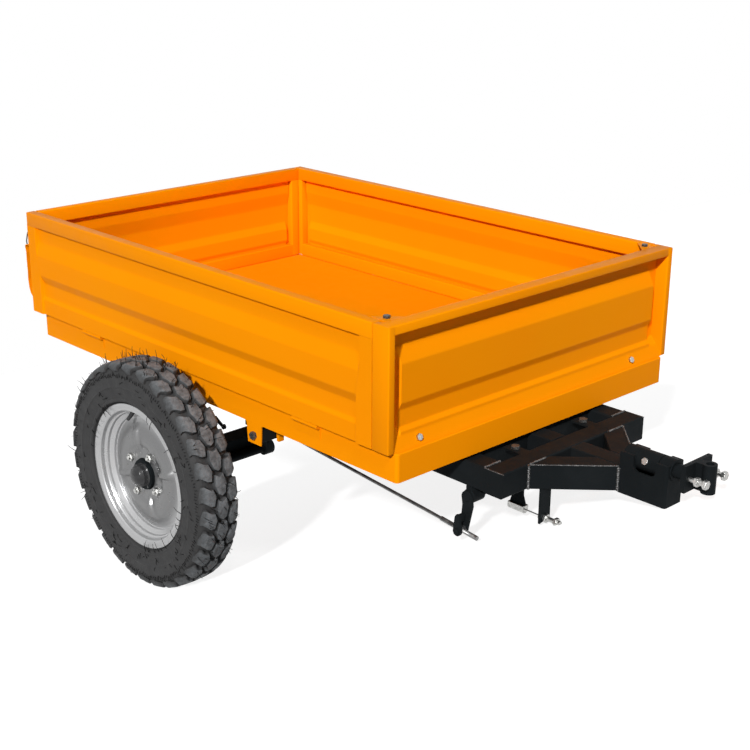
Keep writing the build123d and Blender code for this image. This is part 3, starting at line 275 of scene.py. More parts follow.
def crosswise(x, way):
    """Along, depth and height of a face square to the trailer's length at x, its depth towards +x or -x."""
    return lambda u, d, h: np.stack(np.broadcast_arrays(x + way * d, u, h), -1)


GATE_FACE = crosswise(-BED_LEN / 2, 1)
FRONT_FACE = crosswise(BED_LEN / 2, -1)


def pressed(shape, face, us, hs, depth):
    """A pressed sheet: a face's depth on a grid of lines, its back a sheet's thickness behind it."""
    u, h = np.meshgrid(us, hs, indexing="ij")
    m, n = u.shape
    k = m * n
    front = face(u, depth, h).reshape(-1, 3)
    back = face(u, depth + SHEET_T, h).reshape(-1, 3)
    faces = grid_faces(m, n)
    faces += [[v + k for v in f[::-1]] for f in faces]
    rim = [i * n for i in range(m)]
    rim += [(m - 1) * n + j for j in range(1, n)]
    rim += [i * n + n - 1 for i in range(m - 2, -1, -1)]
    rim += [j for j in range(n - 2, 0, -1)]
    faces += [[a, a + k, b + k, b] for a, b in zip(rim, rim[1:] + rim[:1])]
    shape.add(np.concatenate([front, back]), faces)


def round_rect(w, h, r, steps=4):
    """Corner-rounded rectangle about its middle, w by h, as a closed ring."""
    r = max(min(r, w / 2 - 0.01, h / 2 - 0.01), 0.01)
    t = np.linspace(0, math.pi / 2, steps + 1)
    arc = np.stack([np.cos(t), np.sin(t)], 1) * r
    turns = ((1, 1), (-1, 1), (-1, -1), (1, -1))
    ring = []
    for k, (a, b) in enumerate(turns):
        c, s = math.cos(k * math.pi / 2), math.sin(k * math.pi / 2)
        ring.append(arc @ np.array([[c, s], [-s, c]]) + [a * (w / 2 - r), b * (h / 2 - r)])
    return np.concatenate(ring)


def end_cuts(a, b, r):
    """Six stations from a to b, and how far a tube's section is cut back at each to round off both ends."""
    return ((a, r), (a + 0.3 * r, 0.3 * r), (a + r, 0), (b - r, 0), (b - 0.3 * r, 0.3 * r), (b, r))


def tube_along(shape, face, u0, u1, d0, d1, h0, h1, r):
    """A rounded box section (depth by height) along u, its ends eased over the same radius."""
    rows = []
    for u, cut in end_cuts(u0, u1, r):
        ring = round_rect(d1 - d0 - 2 * cut, h1 - h0 - 2 * cut, r - cut * 0.9)
        rows.append(face(u, (d0 + d1) / 2 + ring[:, 0], (h0 + h1) / 2 + ring[:, 1]))
    shape.grid(np.stack(rows), wrap_n=True, ends=True)


def tube_up(shape, face, u0, u1, d0, d1, h0, h1, r):
    """A rounded box section (along by depth) standing up, its ends eased over the same radius."""
    rows = []
    for h, cut in end_cuts(h0, h1, r):
        ring = round_rect(u1 - u0 - 2 * cut, d1 - d0 - 2 * cut, r - cut * 0.9)
        rows.append(face((u0 + u1) / 2 + ring[:, 0], (d0 + d1) / 2 + ring[:, 1], h))
    shape.grid(np.stack(rows), wrap_n=True, ends=True)


def slab(shape, outline, across, levels):
    """A flat outline carried between two levels of y (an outline of x and z) or of z (one of x and y)."""
    column = {"y": 1, "z": 2}[across]
    rows = [np.insert(np.asarray(outline, float), column, level, axis=1) for level in levels]
    shape.grid(np.stack(rows), wrap_n=True, ends=True)


def trailer_points(p):
    """Row-frame points (m) back in trailer coordinates (mm)."""
    return (np.asarray(p, float) * 1000.0 - ORIGIN) @ np.stack([FWD, LEFT, RISE]).T


def worn_copy(node, name, body, slot_name, bevel, finish=None, keep=None):
    """The CAD node's own shape as a welded copy with rounded edges: merged, flats joined, bevelled.

    keep, if given, says of trailer points which ones stay, for a node whose solids have different finishes.
    """
    smooth = math.radians(35.0)
    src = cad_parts[node]
    me = src.data.copy()
    ob = bpy.data.objects.new(name, me)
    bpy.context.scene.collection.objects.link(ob)
    bm = bmesh.new()
    bm.from_mesh(me)
    bmesh.ops.remove_doubles(bm, verts=bm.verts, dist=2e-5)
    if keep is not None:
        stay = keep(trailer_points([src.matrix_world @ v.co for v in bm.verts]))
        bmesh.ops.delete(bm, geom=[v for v, k in zip(bm.verts, stay) if not k], context="VERTS")
    bmesh.ops.dissolve_limit(bm, angle_limit=math.radians(1.0), verts=bm.verts, edges=bm.edges)
    for f in bm.faces:
        f.smooth = True
    bm.to_mesh(me)
    bm.free()
    me.set_sharp_from_angle(angle=smooth)
    if bevel > 0:
        mod = ob.modifiers.new("edges", "BEVEL")
        mod.width = bevel / 1000
        mod.segments = 2
        mod.limit_method = "ANGLE"
        mod.angle_limit = smooth
        mod.harden_normals = True
        mod.use_clamp_overlap = True
    finish_piece(ob, body, slot_name, node, finish=finish)


def finish_piece(ob, body, slot_name, *nodes, finish=None):
    """Gives a piece its body and the material of its slot's finish or another, and hides the CAD nodes it
    stands for.
    """
    ob.data.materials.clear()
    ob.data.materials.append(finish_of(finish or slot_name))
    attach(ob, body)
    if nodes:
        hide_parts(*nodes)


# ---------------------------------------------------------------- materials
class Nodes:
    """A short way to lay out a material: its nodes, their links and the shader's own constants."""

    CONSTANTS = {"metallic": "Metallic", "specular": "Specular IOR Level", "tint": "Specular Tint"}

    def __init__(self, name):
        self.mat = bpy.data.materials.new(name)
        self.mat.use_nodes = True
        self.tree = self.mat.node_tree
        self.bsdf = self.tree.nodes["Principled BSDF"]
        self.coord = self.tree.nodes.new("ShaderNodeTexCoord")

    def new(self, kind, **settings):
        """A node, with each setting put on its socket of that name, or else on the node itself."""
        node = self.tree.nodes.new(kind)
        for key, value in settings.items():
            if key in node.inputs:
                node.inputs[key].default_value = value
            else:
                setattr(node, key, value)
        return node

    def link(self, a, b):
        """Links an output to an input."""
        self.tree.links.new(a, b)

    def ramp(self, source, stops):
        """A value read off (value, tone) stops, where a tone is a grey or a colour."""
        node = self.new("ShaderNodeValToRGB")
        for e, (pos, tone) in zip(node.color_ramp.elements, stops):
            e.position = pos
            e.color = (tone, tone, tone, 1) if isinstance(tone, (int, float)) else (*tone, 1)
        self.link(source, node.inputs["Fac"])
        return node.outputs["Color"]

    def noise(self, scale, detail, rough=0.55):
        """Noise over the object's own coordinates, in metres."""
        node = self.new("ShaderNodeTexNoise", Scale=scale, Detail=detail, Roughness=rough)
        self.link(self.coord.outputs["Object"], node.inputs["Vector"])
        return node.outputs["Fac"]

    def speckle(self, scale, detail, *stops, rough=0.55):
        """Noise read off two (value, tone) stops."""
        return self.ramp(self.noise(scale, detail, rough), stops)

    def relief(self, scale, detail, strength, distance, under=None):
        """A bump from noise, laid over another one if given."""
        node = self.new("ShaderNodeBump", Strength=strength, Distance=distance)
        self.link(self.noise(scale, detail), node.inputs["Height"])
        if under is not None:
            self.link(under, node.inputs["Normal"])
        return node.outputs["Normal"]

    def mix(self, fac, a, b, blend="MIX"):
        """Two tones mixed; each of the three may be a value or a node's output."""
        node = self.new("ShaderNodeMix", data_type="RGBA", blend_type=blend)
        for sock, value in ((node.inputs[0], fac), (node.inputs[6], a), (node.inputs[7], b)):
            if isinstance(value, (int, float)):
                sock.default_value = value
            elif isinstance(value, (tuple, list)):
                sock.default_value = (*value, 1)
            else:
                self.link(value, sock)
        return node.outputs[2]

    def coat(self, colour, rough, normal=None, **constants):
        """The finished material: colour, roughness and relief linked in, constants set on the shader."""
        for socket, value in (("Base Color", colour), ("Roughness", rough), ("Normal", normal)):
            if value is not None:
                self.link(value, self.bsdf.inputs[socket])
        for name, value in constants.items():
            self.bsdf.inputs[self.CONSTANTS[name]].default_value = value
        return self.mat


def scaled(colour, *factors):
    """A colour times one factor, or times one for each of red, green and blue."""
    return tuple(c * f for c, f in zip(colour, factors * (3 // len(factors))))


def powder_coat(look):
    """Orange powder coat: fine orange-peel bump, a slight drift of tone and a warm, weak sheen."""
    m = Nodes("orange powder coat")
    drift = m.speckle(3.0, 3.0, (0.35, 0.0), (0.7, 1.0))
    tone = m.mix(drift, tuple(look.board_colour), scaled(look.board_colour, 1.0, 0.95, 0.9))
    rough = m.speckle(40.0, 3.0, (0.3, 0.36), (0.75, 0.48))
    peel = m.relief(520.0, 2.0, 0.10, 0.0004)
    return m.coat(tone, rough, peel, specular=0.03, tint=(1.0, 0.42, 0.04, 1.0))


def black_enamel(look):
    """Satin black chassis enamel: a weak dark sheen, a rolled-steel ripple and faint dust."""
    m = Nodes("satin black enamel")
    dust = m.speckle(9.0, 6.0, (0.42, 0.0), (0.75, 0.6), rough=0.65)
    tone = m.mix(dust, tuple(look.chassis_colour), tuple(c * 1.5 + 0.003 for c in look.chassis_colour))
    rough = m.speckle(30.0, 4.0, (0.3, 0.42), (0.72, 0.58))
    ripple = m.relief(160.0, 3.0, 0.18, 0.0006)
    return m.coat(tone, rough, ripple, specular=0.035, tint=(0.45, 0.8, 1.0, 1.0))


def weld_metal(look):
    """Painted weld beads: the enamel's black with a pale speckle over the ripple, a painted glint."""
    m = Nodes("painted weld")
    # painted glints: pale grey speckle on the black bead
    glint_speckle = m.speckle(420.0, 4.0, (0.46, 0.012), (0.64, 0.20))
    rough = m.speckle(200.0, 3.0, (0.3, 0.25), (0.7, 0.45))
    return m.coat(glint_speckle, rough, m.relief(600.0, 3.0, 0.5, 0.0006))


def dull_steel(look):
    """Blackened fasteners: dark metal with a worn bloom."""
    m = Nodes("dull steel")
    bloom = m.speckle(260.0, 5.0, (0.40, 0.03), (0.7, (0.16, 0.16, 0.155)))
    rough = m.speckle(300.0, 3.0, (0.3, 0.35), (0.7, 0.55))
    return m.coat(bloom, rough, m.relief(900.0, 2.0, 0.15, 0.0002), metallic=0.5)


def zinc_plate(look):
    """Bright zinc on fasteners: metal with a mottled bloom and fine scratches."""
    m = Nodes("zinc plate")
    bloom = m.speckle(220.0, 5.0, (0.35, (0.36, 0.36, 0.35)), (0.7, (0.62, 0.62, 0.60)))
    rough = m.speckle(300.0, 3.0, (0.3, 0.24), (0.7, 0.42))
    return m.coat(bloom, rough, m.relief(900.0, 2.0, 0.15, 0.0002), metallic=1.0)


def drawn_steel(look):
    """Bare drawn steel rod: darker grey metal with a film of oil."""
    m = Nodes("drawn steel")
    film = m.speckle(60.0, 5.0, (0.35, (0.16, 0.16, 0.165)), (0.7, (0.34, 0.34, 0.33)))
    rough = m.speckle(120.0, 3.0, (0.3, 0.3), (0.7, 0.5))
    return m.coat(film, rough, m.relief(700.0, 2.0, 0.15, 0.0002), metallic=0.85)


def silver_enamel(look):
    """Silver enamel of the wheels: fine flake and a clear sheen, with a painted highlight: the ring painted
    about twice as bright as the disc.
    """
    m = Nodes("silver enamel")
    base = look.rim_colour
    flake = m.speckle(1500.0, 2.0, (0.35, 0.0), (0.65, 1.0))
    disc = m.mix(flake, scaled(base, 0.76), scaled(base, 0.96))
    # painted highlight: the ring's tone, about twice the disc's, stands in for the light its steps catch
    ring = m.mix(flake, scaled(base, 1.7), scaled(base, 2.0))
    axle = place((AXLE[0], 0.0, AXLE[1]))
    flat = m.new("ShaderNodeMapping", Location=(-axle[0], 0.0, -axle[2]), Scale=(1.0, 0.0, 1.0))
    m.link(m.coord.outputs["Object"], flat.inputs["Vector"])
    reach = m.new("ShaderNodeVectorMath", operation="LENGTH")
    m.link(flat.outputs["Vector"], reach.inputs[0])
    # where the painted highlight lies: beyond about 108 to 132 mm from the axle
    edge = m.ramp(reach.outputs["Value"], ((0.108, 0.0), (0.132, 1.0)))
    rough = m.speckle(35.0, 4.0, (0.3, 0.26), (0.75, 0.36))
    ripple = m.relief(400.0, 2.0, 0.06, 0.0003)
    return m.coat(m.mix(edge, disc, ring), rough, ripple, metallic=0.6, specular=0.3)


def tyre_rubber(look):
    """Tyre rubber: neutral grey, dusty bloom in patches, fine mould grain, paler on the rubbed tread."""
    m = Nodes("tyre rubber")
    base = look.rubber_colour
    dust = m.speckle(11.0, 6.0, (0.4, 0.0), (0.8, 0.6), rough=0.6)
    tone = m.mix(dust, tuple(base), scaled(base, 1.3))
    rubbed = m.new("ShaderNodeAttribute", attribute_name="worn", attribute_type="GEOMETRY")
    patches = m.speckle(75.0, 6.0, (0.36, 0.25), (0.62, 1.0), rough=0.7)
    rub = m.mix(1.0, rubbed.outputs["Color"], patches, "MULTIPLY")
    tone = m.mix(rub, tone, scaled(base, 4.2, 4.5, 4.7))
    rough = m.speckle(50.0, 4.0, (0.3, 0.5), (0.75, 0.72))
    grain = m.relief(900.0, 3.0, 0.3, 0.0004)
    return m.coat(tone, rough, m.relief(150.0, 5.0, 0.5, 0.0016, grain), specular=0.12)


def moulding_hair(look):
    """Moulding hairs: the tyre's rubber, blacker, with a faint mottle."""
    m = Nodes("moulding hair")
    mottle = m.speckle(300.0, 3.0, (0.35, 0.004), (0.7, 0.010))
    return m.coat(mottle, m.speckle(90.0, 3.0, (0.3, 0.55), (0.7, 0.7)), specular=0.1)


def hub_enamel(look):
    """Gloss black enamel of the hub caps, with a faint ripple."""
    m = Nodes("hub enamel")
    drift = m.speckle(25.0, 4.0, (0.35, (0.010, 0.010, 0.011)), (0.7, (0.028, 0.028, 0.029)))
    rough = m.speckle(90.0, 3.0, (0.3, 0.16), (0.7, 0.28))
    return m.coat(drift, rough, m.relief(260.0, 2.0, 0.12, 0.0004))


MATS = {}
FINISHES = {
    "orange_paint": powder_coat,
    "black_paint": black_enamel,
    "zinc": zinc_plate,
    "steel_rod": drawn_steel,
    "rim_silver": silver_enamel,
    "tyre": tyre_rubber,
    "hub_enamel": hub_enamel,
    "hair": moulding_hair,
    "weld": weld_metal,
    "dull_steel": dull_steel,
}


def finish_of(name):
    """The material of a finish, made the first time it is asked for."""
    if name not in MATS:
        MATS[name] = FINISHES[name](bpy.context.scene.trailer_look)
    return MATS[name]


# ---------------------------------------------------------------- settings
class TrailerLook(bpy.types.PropertyGroup):
    """Colours of the trailer's finishes."""

    board_colour: bpy.props.FloatVectorProperty(
        name="Board colour", description="Powder coat of the boards and the tray", subtype="COLOR",
        size=3, min=0, max=1, default=(0.91, 0.285, 0.0008))
    chassis_colour: bpy.props.FloatVectorProperty(
        name="Chassis colour", description="Satin enamel of the chassis, axle and hitch", subtype="COLOR",
        size=3, min=0, max=1, default=(0.0082, 0.0096, 0.0104))
    rim_colour: bpy.props.FloatVectorProperty(
        name="Rim colour", description="Silver enamel of the wheel discs", subtype="COLOR",
        size=3, min=0, max=1, default=(0.235, 0.236, 0.238))
    rubber_colour: bpy.props.FloatVectorProperty(
        name="Rubber colour", description="Tyre rubber", subtype="COLOR",
        size=3, min=0, max=1, default=(0.038, 0.038, 0.0385))


class TrailerBoards(bpy.types.PropertyGroup):
    """Pressing of the boards, in millimetres."""

    swage: bpy.props.FloatProperty(
        name="Swage depth", description="How deep the pressed field lies, in millimetres", min=2, max=14,
        default=9.0)
    bend: bpy.props.FloatProperty(
        name="Bend", description="Radius of the pressed bends, in millimetres", min=1, max=8, default=3.0)


class TrailerWheels(bpy.types.PropertyGroup):
    """Tread and disc of the wheels, in millimetres."""

    lugs: bpy.props.IntProperty(
        name="Lugs", description="Tread blocks in one row round the tyre", min=20, max=48, default=30)
    tread_depth: bpy.props.FloatProperty(
        name="Tread depth", description="Depth of the grooves, in millimetres", min=3, max=14, default=12.0)
    hairs: bpy.props.IntProperty(
        name="Hairs", description="Moulding hairs that stand on each tread", min=0, max=600, default=240)
    turns: bpy.props.IntProperty(
        name="Facets", description="Steps round the tyre's carcass", min=60, max=360, default=180)
    rib: bpy.props.FloatProperty(
        name="Rib height", description="How far the disc's four ribs stand out, in millimetres",
        min=0, max=10, default=7.0)
    stud_r: bpy.props.FloatProperty(
        name="Stud circle", description="Radius of the wheel nuts' circle, in millimetres",
        min=48, max=66, default=55.0)


class TrailerStage(bpy.types.PropertyGroup):
    """Camera and studio light."""

    lens: bpy.props.FloatProperty(
        name="Lens", description="Focal length of the camera on a 36 mm sensor", unit="CAMERA",
        default=65.42)
    azimuth: bpy.props.FloatProperty(
        name="Azimuth", description="Turn of the view about the deck's upright", subtype="ANGLE",
        default=math.radians(-43.717))
    elevation: bpy.props.FloatProperty(
        name="Elevation", description="How far the view looks down on the deck", subtype="ANGLE",
        default=math.radians(19.551))
    roll: bpy.props.FloatProperty(
        name="Roll", description="Turn of the view about its own axis", subtype="ANGLE",
        default=math.radians(0.348))
    key_power: bpy.props.FloatProperty(
        name="Key light", description="Strength of the main light", min=0, default=3.5)
    front_power: bpy.props.FloatProperty(
        name="Front light", description="Strength of the weaker light from the front", min=0, default=0.7)
    floor_lift: bpy.props.FloatProperty(
        name="Floor lift", description="How much paler the floor shows to the camera", min=0, max=1,
        default=0.84)
    fill_power: bpy.props.FloatProperty(
        name="Fill light", description="Light that the white surroundings give", min=0, default=0.05)


# ---------------------------------------------------------------- stage
FLOOR_HALF = 40.0
FLOOR_GREY = 0.36
CAMERA_AT = (2363.34, -2123.64, 1014.89)


def linked(tree, kind, *sources, **settings):
    """A new node in a tree with these outputs linked to its first inputs."""
    node = tree.nodes.new(kind)
    for key, value in settings.items():
        setattr(node, key, value)
    for source, sock in zip(sources, node.inputs):
        tree.links.new(source, sock)
    return node.outputs[0]


class TRAILER_OT_stage(bpy.types.Operator):
    """Pale floor, white surroundings, a key and a front light, and the camera"""

    bl_idname = "trailer.stage"
    bl_label = "Stage"

    def execute(self, context):
        stage = context.scene.trailer_stage
        context.scene.view_settings.view_transform = "Standard"
        self.floor(stage)
        self.surroundings(context.scene, stage)
        self.lamps(context.scene, stage)
        self.camera(context.scene, stage)
        return {"FINISHED"}

    def floor(self, stage):
        """A matt grey floor that shows nearly white to the camera and keeps the trailer's shadow."""
        z = float(place((BOX_EDGE[0], 0.0, BOX_EDGE[1]))[2])
        corners = [(x * FLOOR_HALF, y * FLOOR_HALF, z) for x, y in ((-1, -1), (1, -1), (1, 1), (-1, 1))]
        floor = mesh_object("studio_floor", corners, [(0, 1, 2, 3)])
        m = Nodes("studio floor")
        m.bsdf.inputs["Base Color"].default_value = (FLOOR_GREY, FLOOR_GREY, FLOOR_GREY, 1)
        m.bsdf.inputs["Roughness"].default_value = 0.9
        path = m.new("ShaderNodeLightPath").outputs
        rays = (path["Is Camera Ray"], path["Is Glossy Ray"])
        seen = linked(m.tree, "ShaderNodeMath", *rays, operation="MAXIMUM")
        glow = linked(m.tree, "ShaderNodeEmission", m.mix(seen, (0.0, 0.0, 0.0), (stage.floor_lift,) * 3))
        both = linked(m.tree, "ShaderNodeAddShader", m.bsdf.outputs[0], glow)
        m.link(both, m.tree.nodes["Material Output"].inputs["Surface"])
        floor.data.materials.append(m.mat)

    def surroundings(self, scene, stage):
        """White all round for the camera and for reflections, and a weak fill for everything else."""
        world = bpy.data.worlds.new("studio")
        scene.world = world
        world.use_nodes = True
        tree = world.node_tree
        fill = tree.nodes["Background"]
        fill.inputs["Color"].default_value = (1, 1, 1, 1)
        fill.inputs["Strength"].default_value = stage.fill_power
        white = tree.nodes.new("ShaderNodeBackground")
        white.inputs["Color"].default_value = (1, 1, 1, 1)
        path = tree.nodes.new("ShaderNodeLightPath").outputs
        seen = path["Is Camera Ray"]
        for ray in ("Is Glossy Ray", "Is Transmission Ray"):
            seen = linked(tree, "ShaderNodeMath", seen, path[ray], operation="MAXIMUM")
        both = linked(tree, "ShaderNodeMixShader", seen, fill.outputs[0], white.outputs[0])
        tree.links.new(both, tree.nodes["World Output"].inputs["Surface"])

    def lamps(self, scene, stage):
        """Two suns, each with its spread in degrees and the trailer direction that it shines from."""
        lamps = (("key", stage.key_power, 3.0, (1.0, -1.7, 1.23)),
                 ("front", stage.front_power, 12.0, (0.55, -0.3, 0.8)))
        for name, power, spread, source in lamps:
            sun = bpy.data.lights.new(name, "SUN")
            sun.energy = power
            sun.angle = math.radians(spread)
            lamp = bpy.data.objects.new(name, sun)
            lamp.rotation_euler = Vector(turned(source)).to_track_quat("Z", "Y").to_euler()
            scene.collection.objects.link(lamp)

    def camera(self, scene, stage):
        """The camera, its axes worked out from azimuth, elevation and roll in trailer directions."""
        az, el = stage.azimuth, stage.elevation
        look = np.array([-math.cos(az) * math.cos(el), -math.sin(az) * math.cos(el), -math.sin(el)])
        side = np.array([-math.sin(az), math.cos(az), 0.0])
        up = np.cross(side, look)
        c, s = math.cos(stage.roll), math.sin(stage.roll)
        side, up = c * side + s * up, -s * side + c * up
        rows = [turned(side), turned(up), -turned(look)]
        turn = Matrix([list(r) for r in rows]).transposed().to_4x4()
        cam = bpy.data.cameras.new("camera")
        cam.lens = stage.lens
        cam.sensor_width = 36.0
        cam.clip_end = 200.0
        ob = bpy.data.objects.new("camera", cam)
        ob.matrix_world = Matrix.Translation(Vector(place(CAMERA_AT))) @ turn
        scene.collection.objects.link(ob)
        scene.camera = ob


# ---------------------------------------------------------------- boards
def swage_line(boards):
    """The pressed profile of a side board or tailgate, as (height, depth) from its foot to its top tube."""
    lower = [(47, boards.swage), (81, boards.swage)]
    upper = [(186, boards.swage), (227, boards.swage)]
    return [(-1, 5), (38, 5), *lower, (101, 1), (151, 1), *upper]


SWAGE_ROWS = lines((0, 30, 4), (30, 56, 13), (56, 76, 4), (76, 108, 14), (108, 144, 6), (144, 194, 18),
                   (194, 226, 8))
FLUSH = 0.6
SLOPE = 4


def swage_depth(boards, us, start, end):
    """The swage line between two flush ends: each recess begins with a slope, the lower one further in."""
    u, h = np.meshgrid(us, SWAGE_ROWS, indexing="ij")
    low = 9.0 * (1 - soft_step(h, 101, 151))
    field = soft_step(u, start + low, start + low + SLOPE) * (1 - soft_step(u, end - low - SLOPE, end - low))
    line = eased(SWAGE_ROWS, swage_line(boards), boards.bend)
    return FLUSH + (line[None] - FLUSH) * field


def swage_columns(start, end):
    """Grid lines along a board, close together over the slopes at both ends."""
    left, right = start + 26, end - 26
    return lines((start, start + 4, 1), (start + 4, left, 22), (left, right, 22), (right, end - 4, 22),
                 (end - 4, end, 1))


def swaged_board(boards, face, u0, u1, thick, press, upright, foot):
    """A board from u0 to u1: a sheet pressed from press in at both ends, over a frame of box tube.

    upright is the width of the frame's two uprights, foot how far in its foot tube ends at u0 and at u1.
    """
    shape = Shape()
    us = np.unique(np.concatenate([[u0, u1], swage_columns(u0 + press - 5, u1 - press + 5)]))
    pressed(shape, face, us, SWAGE_ROWS, swage_depth(boards, us, u0 + press, u1 - press))
    tube_along(shape, face, u0, u1, 0, thick, TOP_TUBE, BOARD_H, TUBE_EDGE)
    tube_along(shape, face, u0 + foot[0], u1 - foot[1], 7.5, thick - 0.5, -FLUSH, FOOT_TUBE, UPRIGHT_EDGE)
    for end in (u0 + 0.4, u1 - upright):
        tube_up(shape, face, end, end + upright - 0.4, 1.4, thick - 0.2, 0.4, TOP_TUBE + 2, UPRIGHT_EDGE)
    return shape


class TRAILER_OT_side_boards(bpy.types.Operator):
    """The two side boards: one pressed sheet over a top tube, a foot tube and an upright at each end"""

    bl_idname = "trailer.side_boards"
    bl_label = "Side boards"

    def execute(self, context):
        boards = context.scene.trailer_boards
        rear, front = -BED_LEN / 2, BED_LEN / 2 - 47.0
        for side, s in (("left", 1), ("right", -1)):
            shape = swaged_board(boards, side_face(s), rear, front, SIDE_T, 35.0, 34.0, (30.0, 26.0))
            ob = shape.make(f"side_board_{side}_pressed", 32)
            finish_piece(ob, f"side_{side}", "orange_paint", f"side_board_{side}")
        return {"FINISHED"}


class TRAILER_OT_tailgate(bpy.types.Operator):
    """The tailgate, pressed like the side boards"""

    bl_idname = "trailer.tailgate"
    bl_label = "Tailgate"

    def execute(self, context):
        boards = context.scene.trailer_boards
        half = BED_WID / 2 - 26.0
        shape = swaged_board(boards, GATE_FACE, -half, half, GATE_T, 25.0, 26.0, (22.0, 22.0))
        ob = shape.make("tailgate_pressed", 32)
        finish_piece(ob, "rear_gate", "orange_paint", "tailgate")
        return {"FINISHED"}


class TRAILER_OT_front_board(bpy.types.Operator):
    """The front board: a pan with two raised faces, a cap rail, corner posts and gussets"""

    bl_idname = "trailer.front_board"
    bl_label = "Front board"

    LIP = [(-1, 1), (26, 13)]
    RAISED = LIP + [(33, 13), (40, 20.5), (75, 20.5), (91, 13), (171, 13), (206, 30), (240, 30)]
    RECESS = LIP + [(43, 30), (240, 30)]
    ROUND = 8.0

    def execute(self, context):
        boards = context.scene.trailer_boards
        half = BED_WID / 2 - POST_WID
        field = half - 27.0
        hs = lines((-1, 20, 4), (20, 48, 20), (48, 70, 4), (70, 96, 16), (96, 166, 6), (166, 214, 22),
                   (214, 239, 4))
        us = lines((-half - 2, -field - 3, 6), (-field - 3, -field + 12, 15), (-field + 12, field - 12, 30),
                   (field - 12, field + 3, 15), (field + 3, half + 2, 6))
        corner = self.ROUND * (1 - np.sqrt(1 - np.clip((hs - 200) / self.ROUND, 0, 1) ** 2))
        blend = soft_step(field - corner[None] - np.abs(us)[:, None], -1.0, 3.0)
        raised = eased(hs, self.RAISED, boards.bend)[None]
        recess = eased(hs, self.RECESS, boards.bend)[None]
        shape = Shape()
        pressed(shape, FRONT_FACE, us, hs, raised * blend + recess * (1 - blend))
        cap = BED_WID / 2 - 1
        tube_along(shape, FRONT_FACE, -cap, cap, 0.4, CAP_DEPTH, BOARD_H - CAP_H, BOARD_H, TUBE_EDGE)
        gusset_x = BED_LEN / 2 - 33.0
        for s in (1, -1):
            u0, u1 = sorted((s * half, s * BED_WID / 2))
            tube_up(shape, FRONT_FACE, u0, u1, 0, POST_DEPTH, -1, BOARD_H - 0.3, POST_EDGE)
            gusset = [(gusset_x, s * 424.0), (gusset_x - 47.0, s * 424.0), (gusset_x, s * 377.0)]
            slab(shape, gusset, "z", (BOARD_H - 3.0, BOARD_H))
        ob = shape.make("front_board_pressed", 32)
        finish_piece(ob, "chassis", "orange_paint", "front_board")
        return {"FINISHED"}


# ---------------------------------------------------------------- wheels
def wheel_point(s, w, r, t):
    """Trailer point w outward from a tyre's middle, r from the axle and t radians from the top, forwards."""
    w, r, t = np.broadcast_arrays(np.asarray(w, float), r, t)
    return np.stack([AXLE[0] + r * np.sin(t), s * (TRACK / 2 + w), AXLE[1] + r * np.cos(t)], -1)


def turned_profile(shape, s, profile, n, closed=False):
    """A profile of (w, r) points carried once round the axle."""
    t = np.linspace(0, 2 * math.pi, n, endpoint=False)
    p = np.asarray(profile, float)
    shape.grid(wheel_point(s, p[:, :1], p[:, 1:], t[None]), wrap_m=closed, wrap_n=True)


def turn_from(t, angle):
    """Angles t measured from another angle, between minus and plus half a turn."""
    return (t - angle + math.pi) % (2 * math.pi) - math.pi


# profiles across a tyre as (w outward from its middle, r from the axle)
TREAD_LINE = [(0, 265), (20, 264.6), (36, 263.2), (44, 258.5), (48.5, 250), (50.5, 240), (51.2, 228),
              (51.5, 215)]
CARCASS = [(38.4, 154), (38.4, 170.5), (41, 172.5), (45.5, 173.5), (47.2, 176), (47.4, 180), (46.6, 182),
           (47.6, 184), (48.8, 194), (49.6, 203), (50.3, 206), (51.3, 207.5), (51.5, 209.5), (50.7, 211),
           (50.2, 222), (49.4, 232), (47.2, 241), (43.0, 246), (38, 249.5), (28, 252.4), (12, 253), (0, 253)]
# outlines of the tread blocks as (arc from the crown, share of the pitch)
MIDDLE_BLOCK = [(0, 0.52), (9.5, 0.42), (16.5, 0.02), (10.5, -0.40), (0, -0.30), (-10.5, -0.40),
                (-16.5, 0.02), (-9.5, 0.42)]
OUTER_BLOCK = [(14.2, -0.06), (20.5, 0.34), (30, 0.33), (43, 0.18), (52, 0.12), (61, 0.17), (62, -0.10),
               (52, -0.56), (43, -0.58), (30, -0.43), (20.5, -0.38)]
# each ring of a block as (how far out from its outline, share of the groove's depth, how worn)
BLOCK_RINGS = ((0.2, 1.0, 0.0), (-1.4, 0.14, 0.3), (-2.0, 0.02, 0.85), (-3.0, 0.0, 1.0))
BLOCK_INSIDE = (0.5, 0.99)
# the hairs: radii along one in mm, half the bald stretch at the floor and the comb's step in radians
HAIR_R = np.array([0.85, 0.75, 0.65, 0.55, 0.4])
CONTACT_HALF = 0.52
COMB_STEP = 0.030


def tread_frame():
    """The tread's outer line as arrays: arc length from the crown, w, r and the outward normal."""
    line = rounded(TREAD_LINE, 10.0, 6)
    step = np.linalg.norm(np.diff(line, axis=0), axis=1)
    arc = np.concatenate([[0.0], np.cumsum(step)])
    a = np.linspace(0, arc[-1], 120)
    w = np.interp(a, arc, line[:, 0])
    r = np.interp(a, arc, line[:, 1])
    n = np.stack([-np.gradient(r, a), np.gradient(w, a)], 1)
    return a, w, r, n / np.linalg.norm(n, axis=1)[:, None]


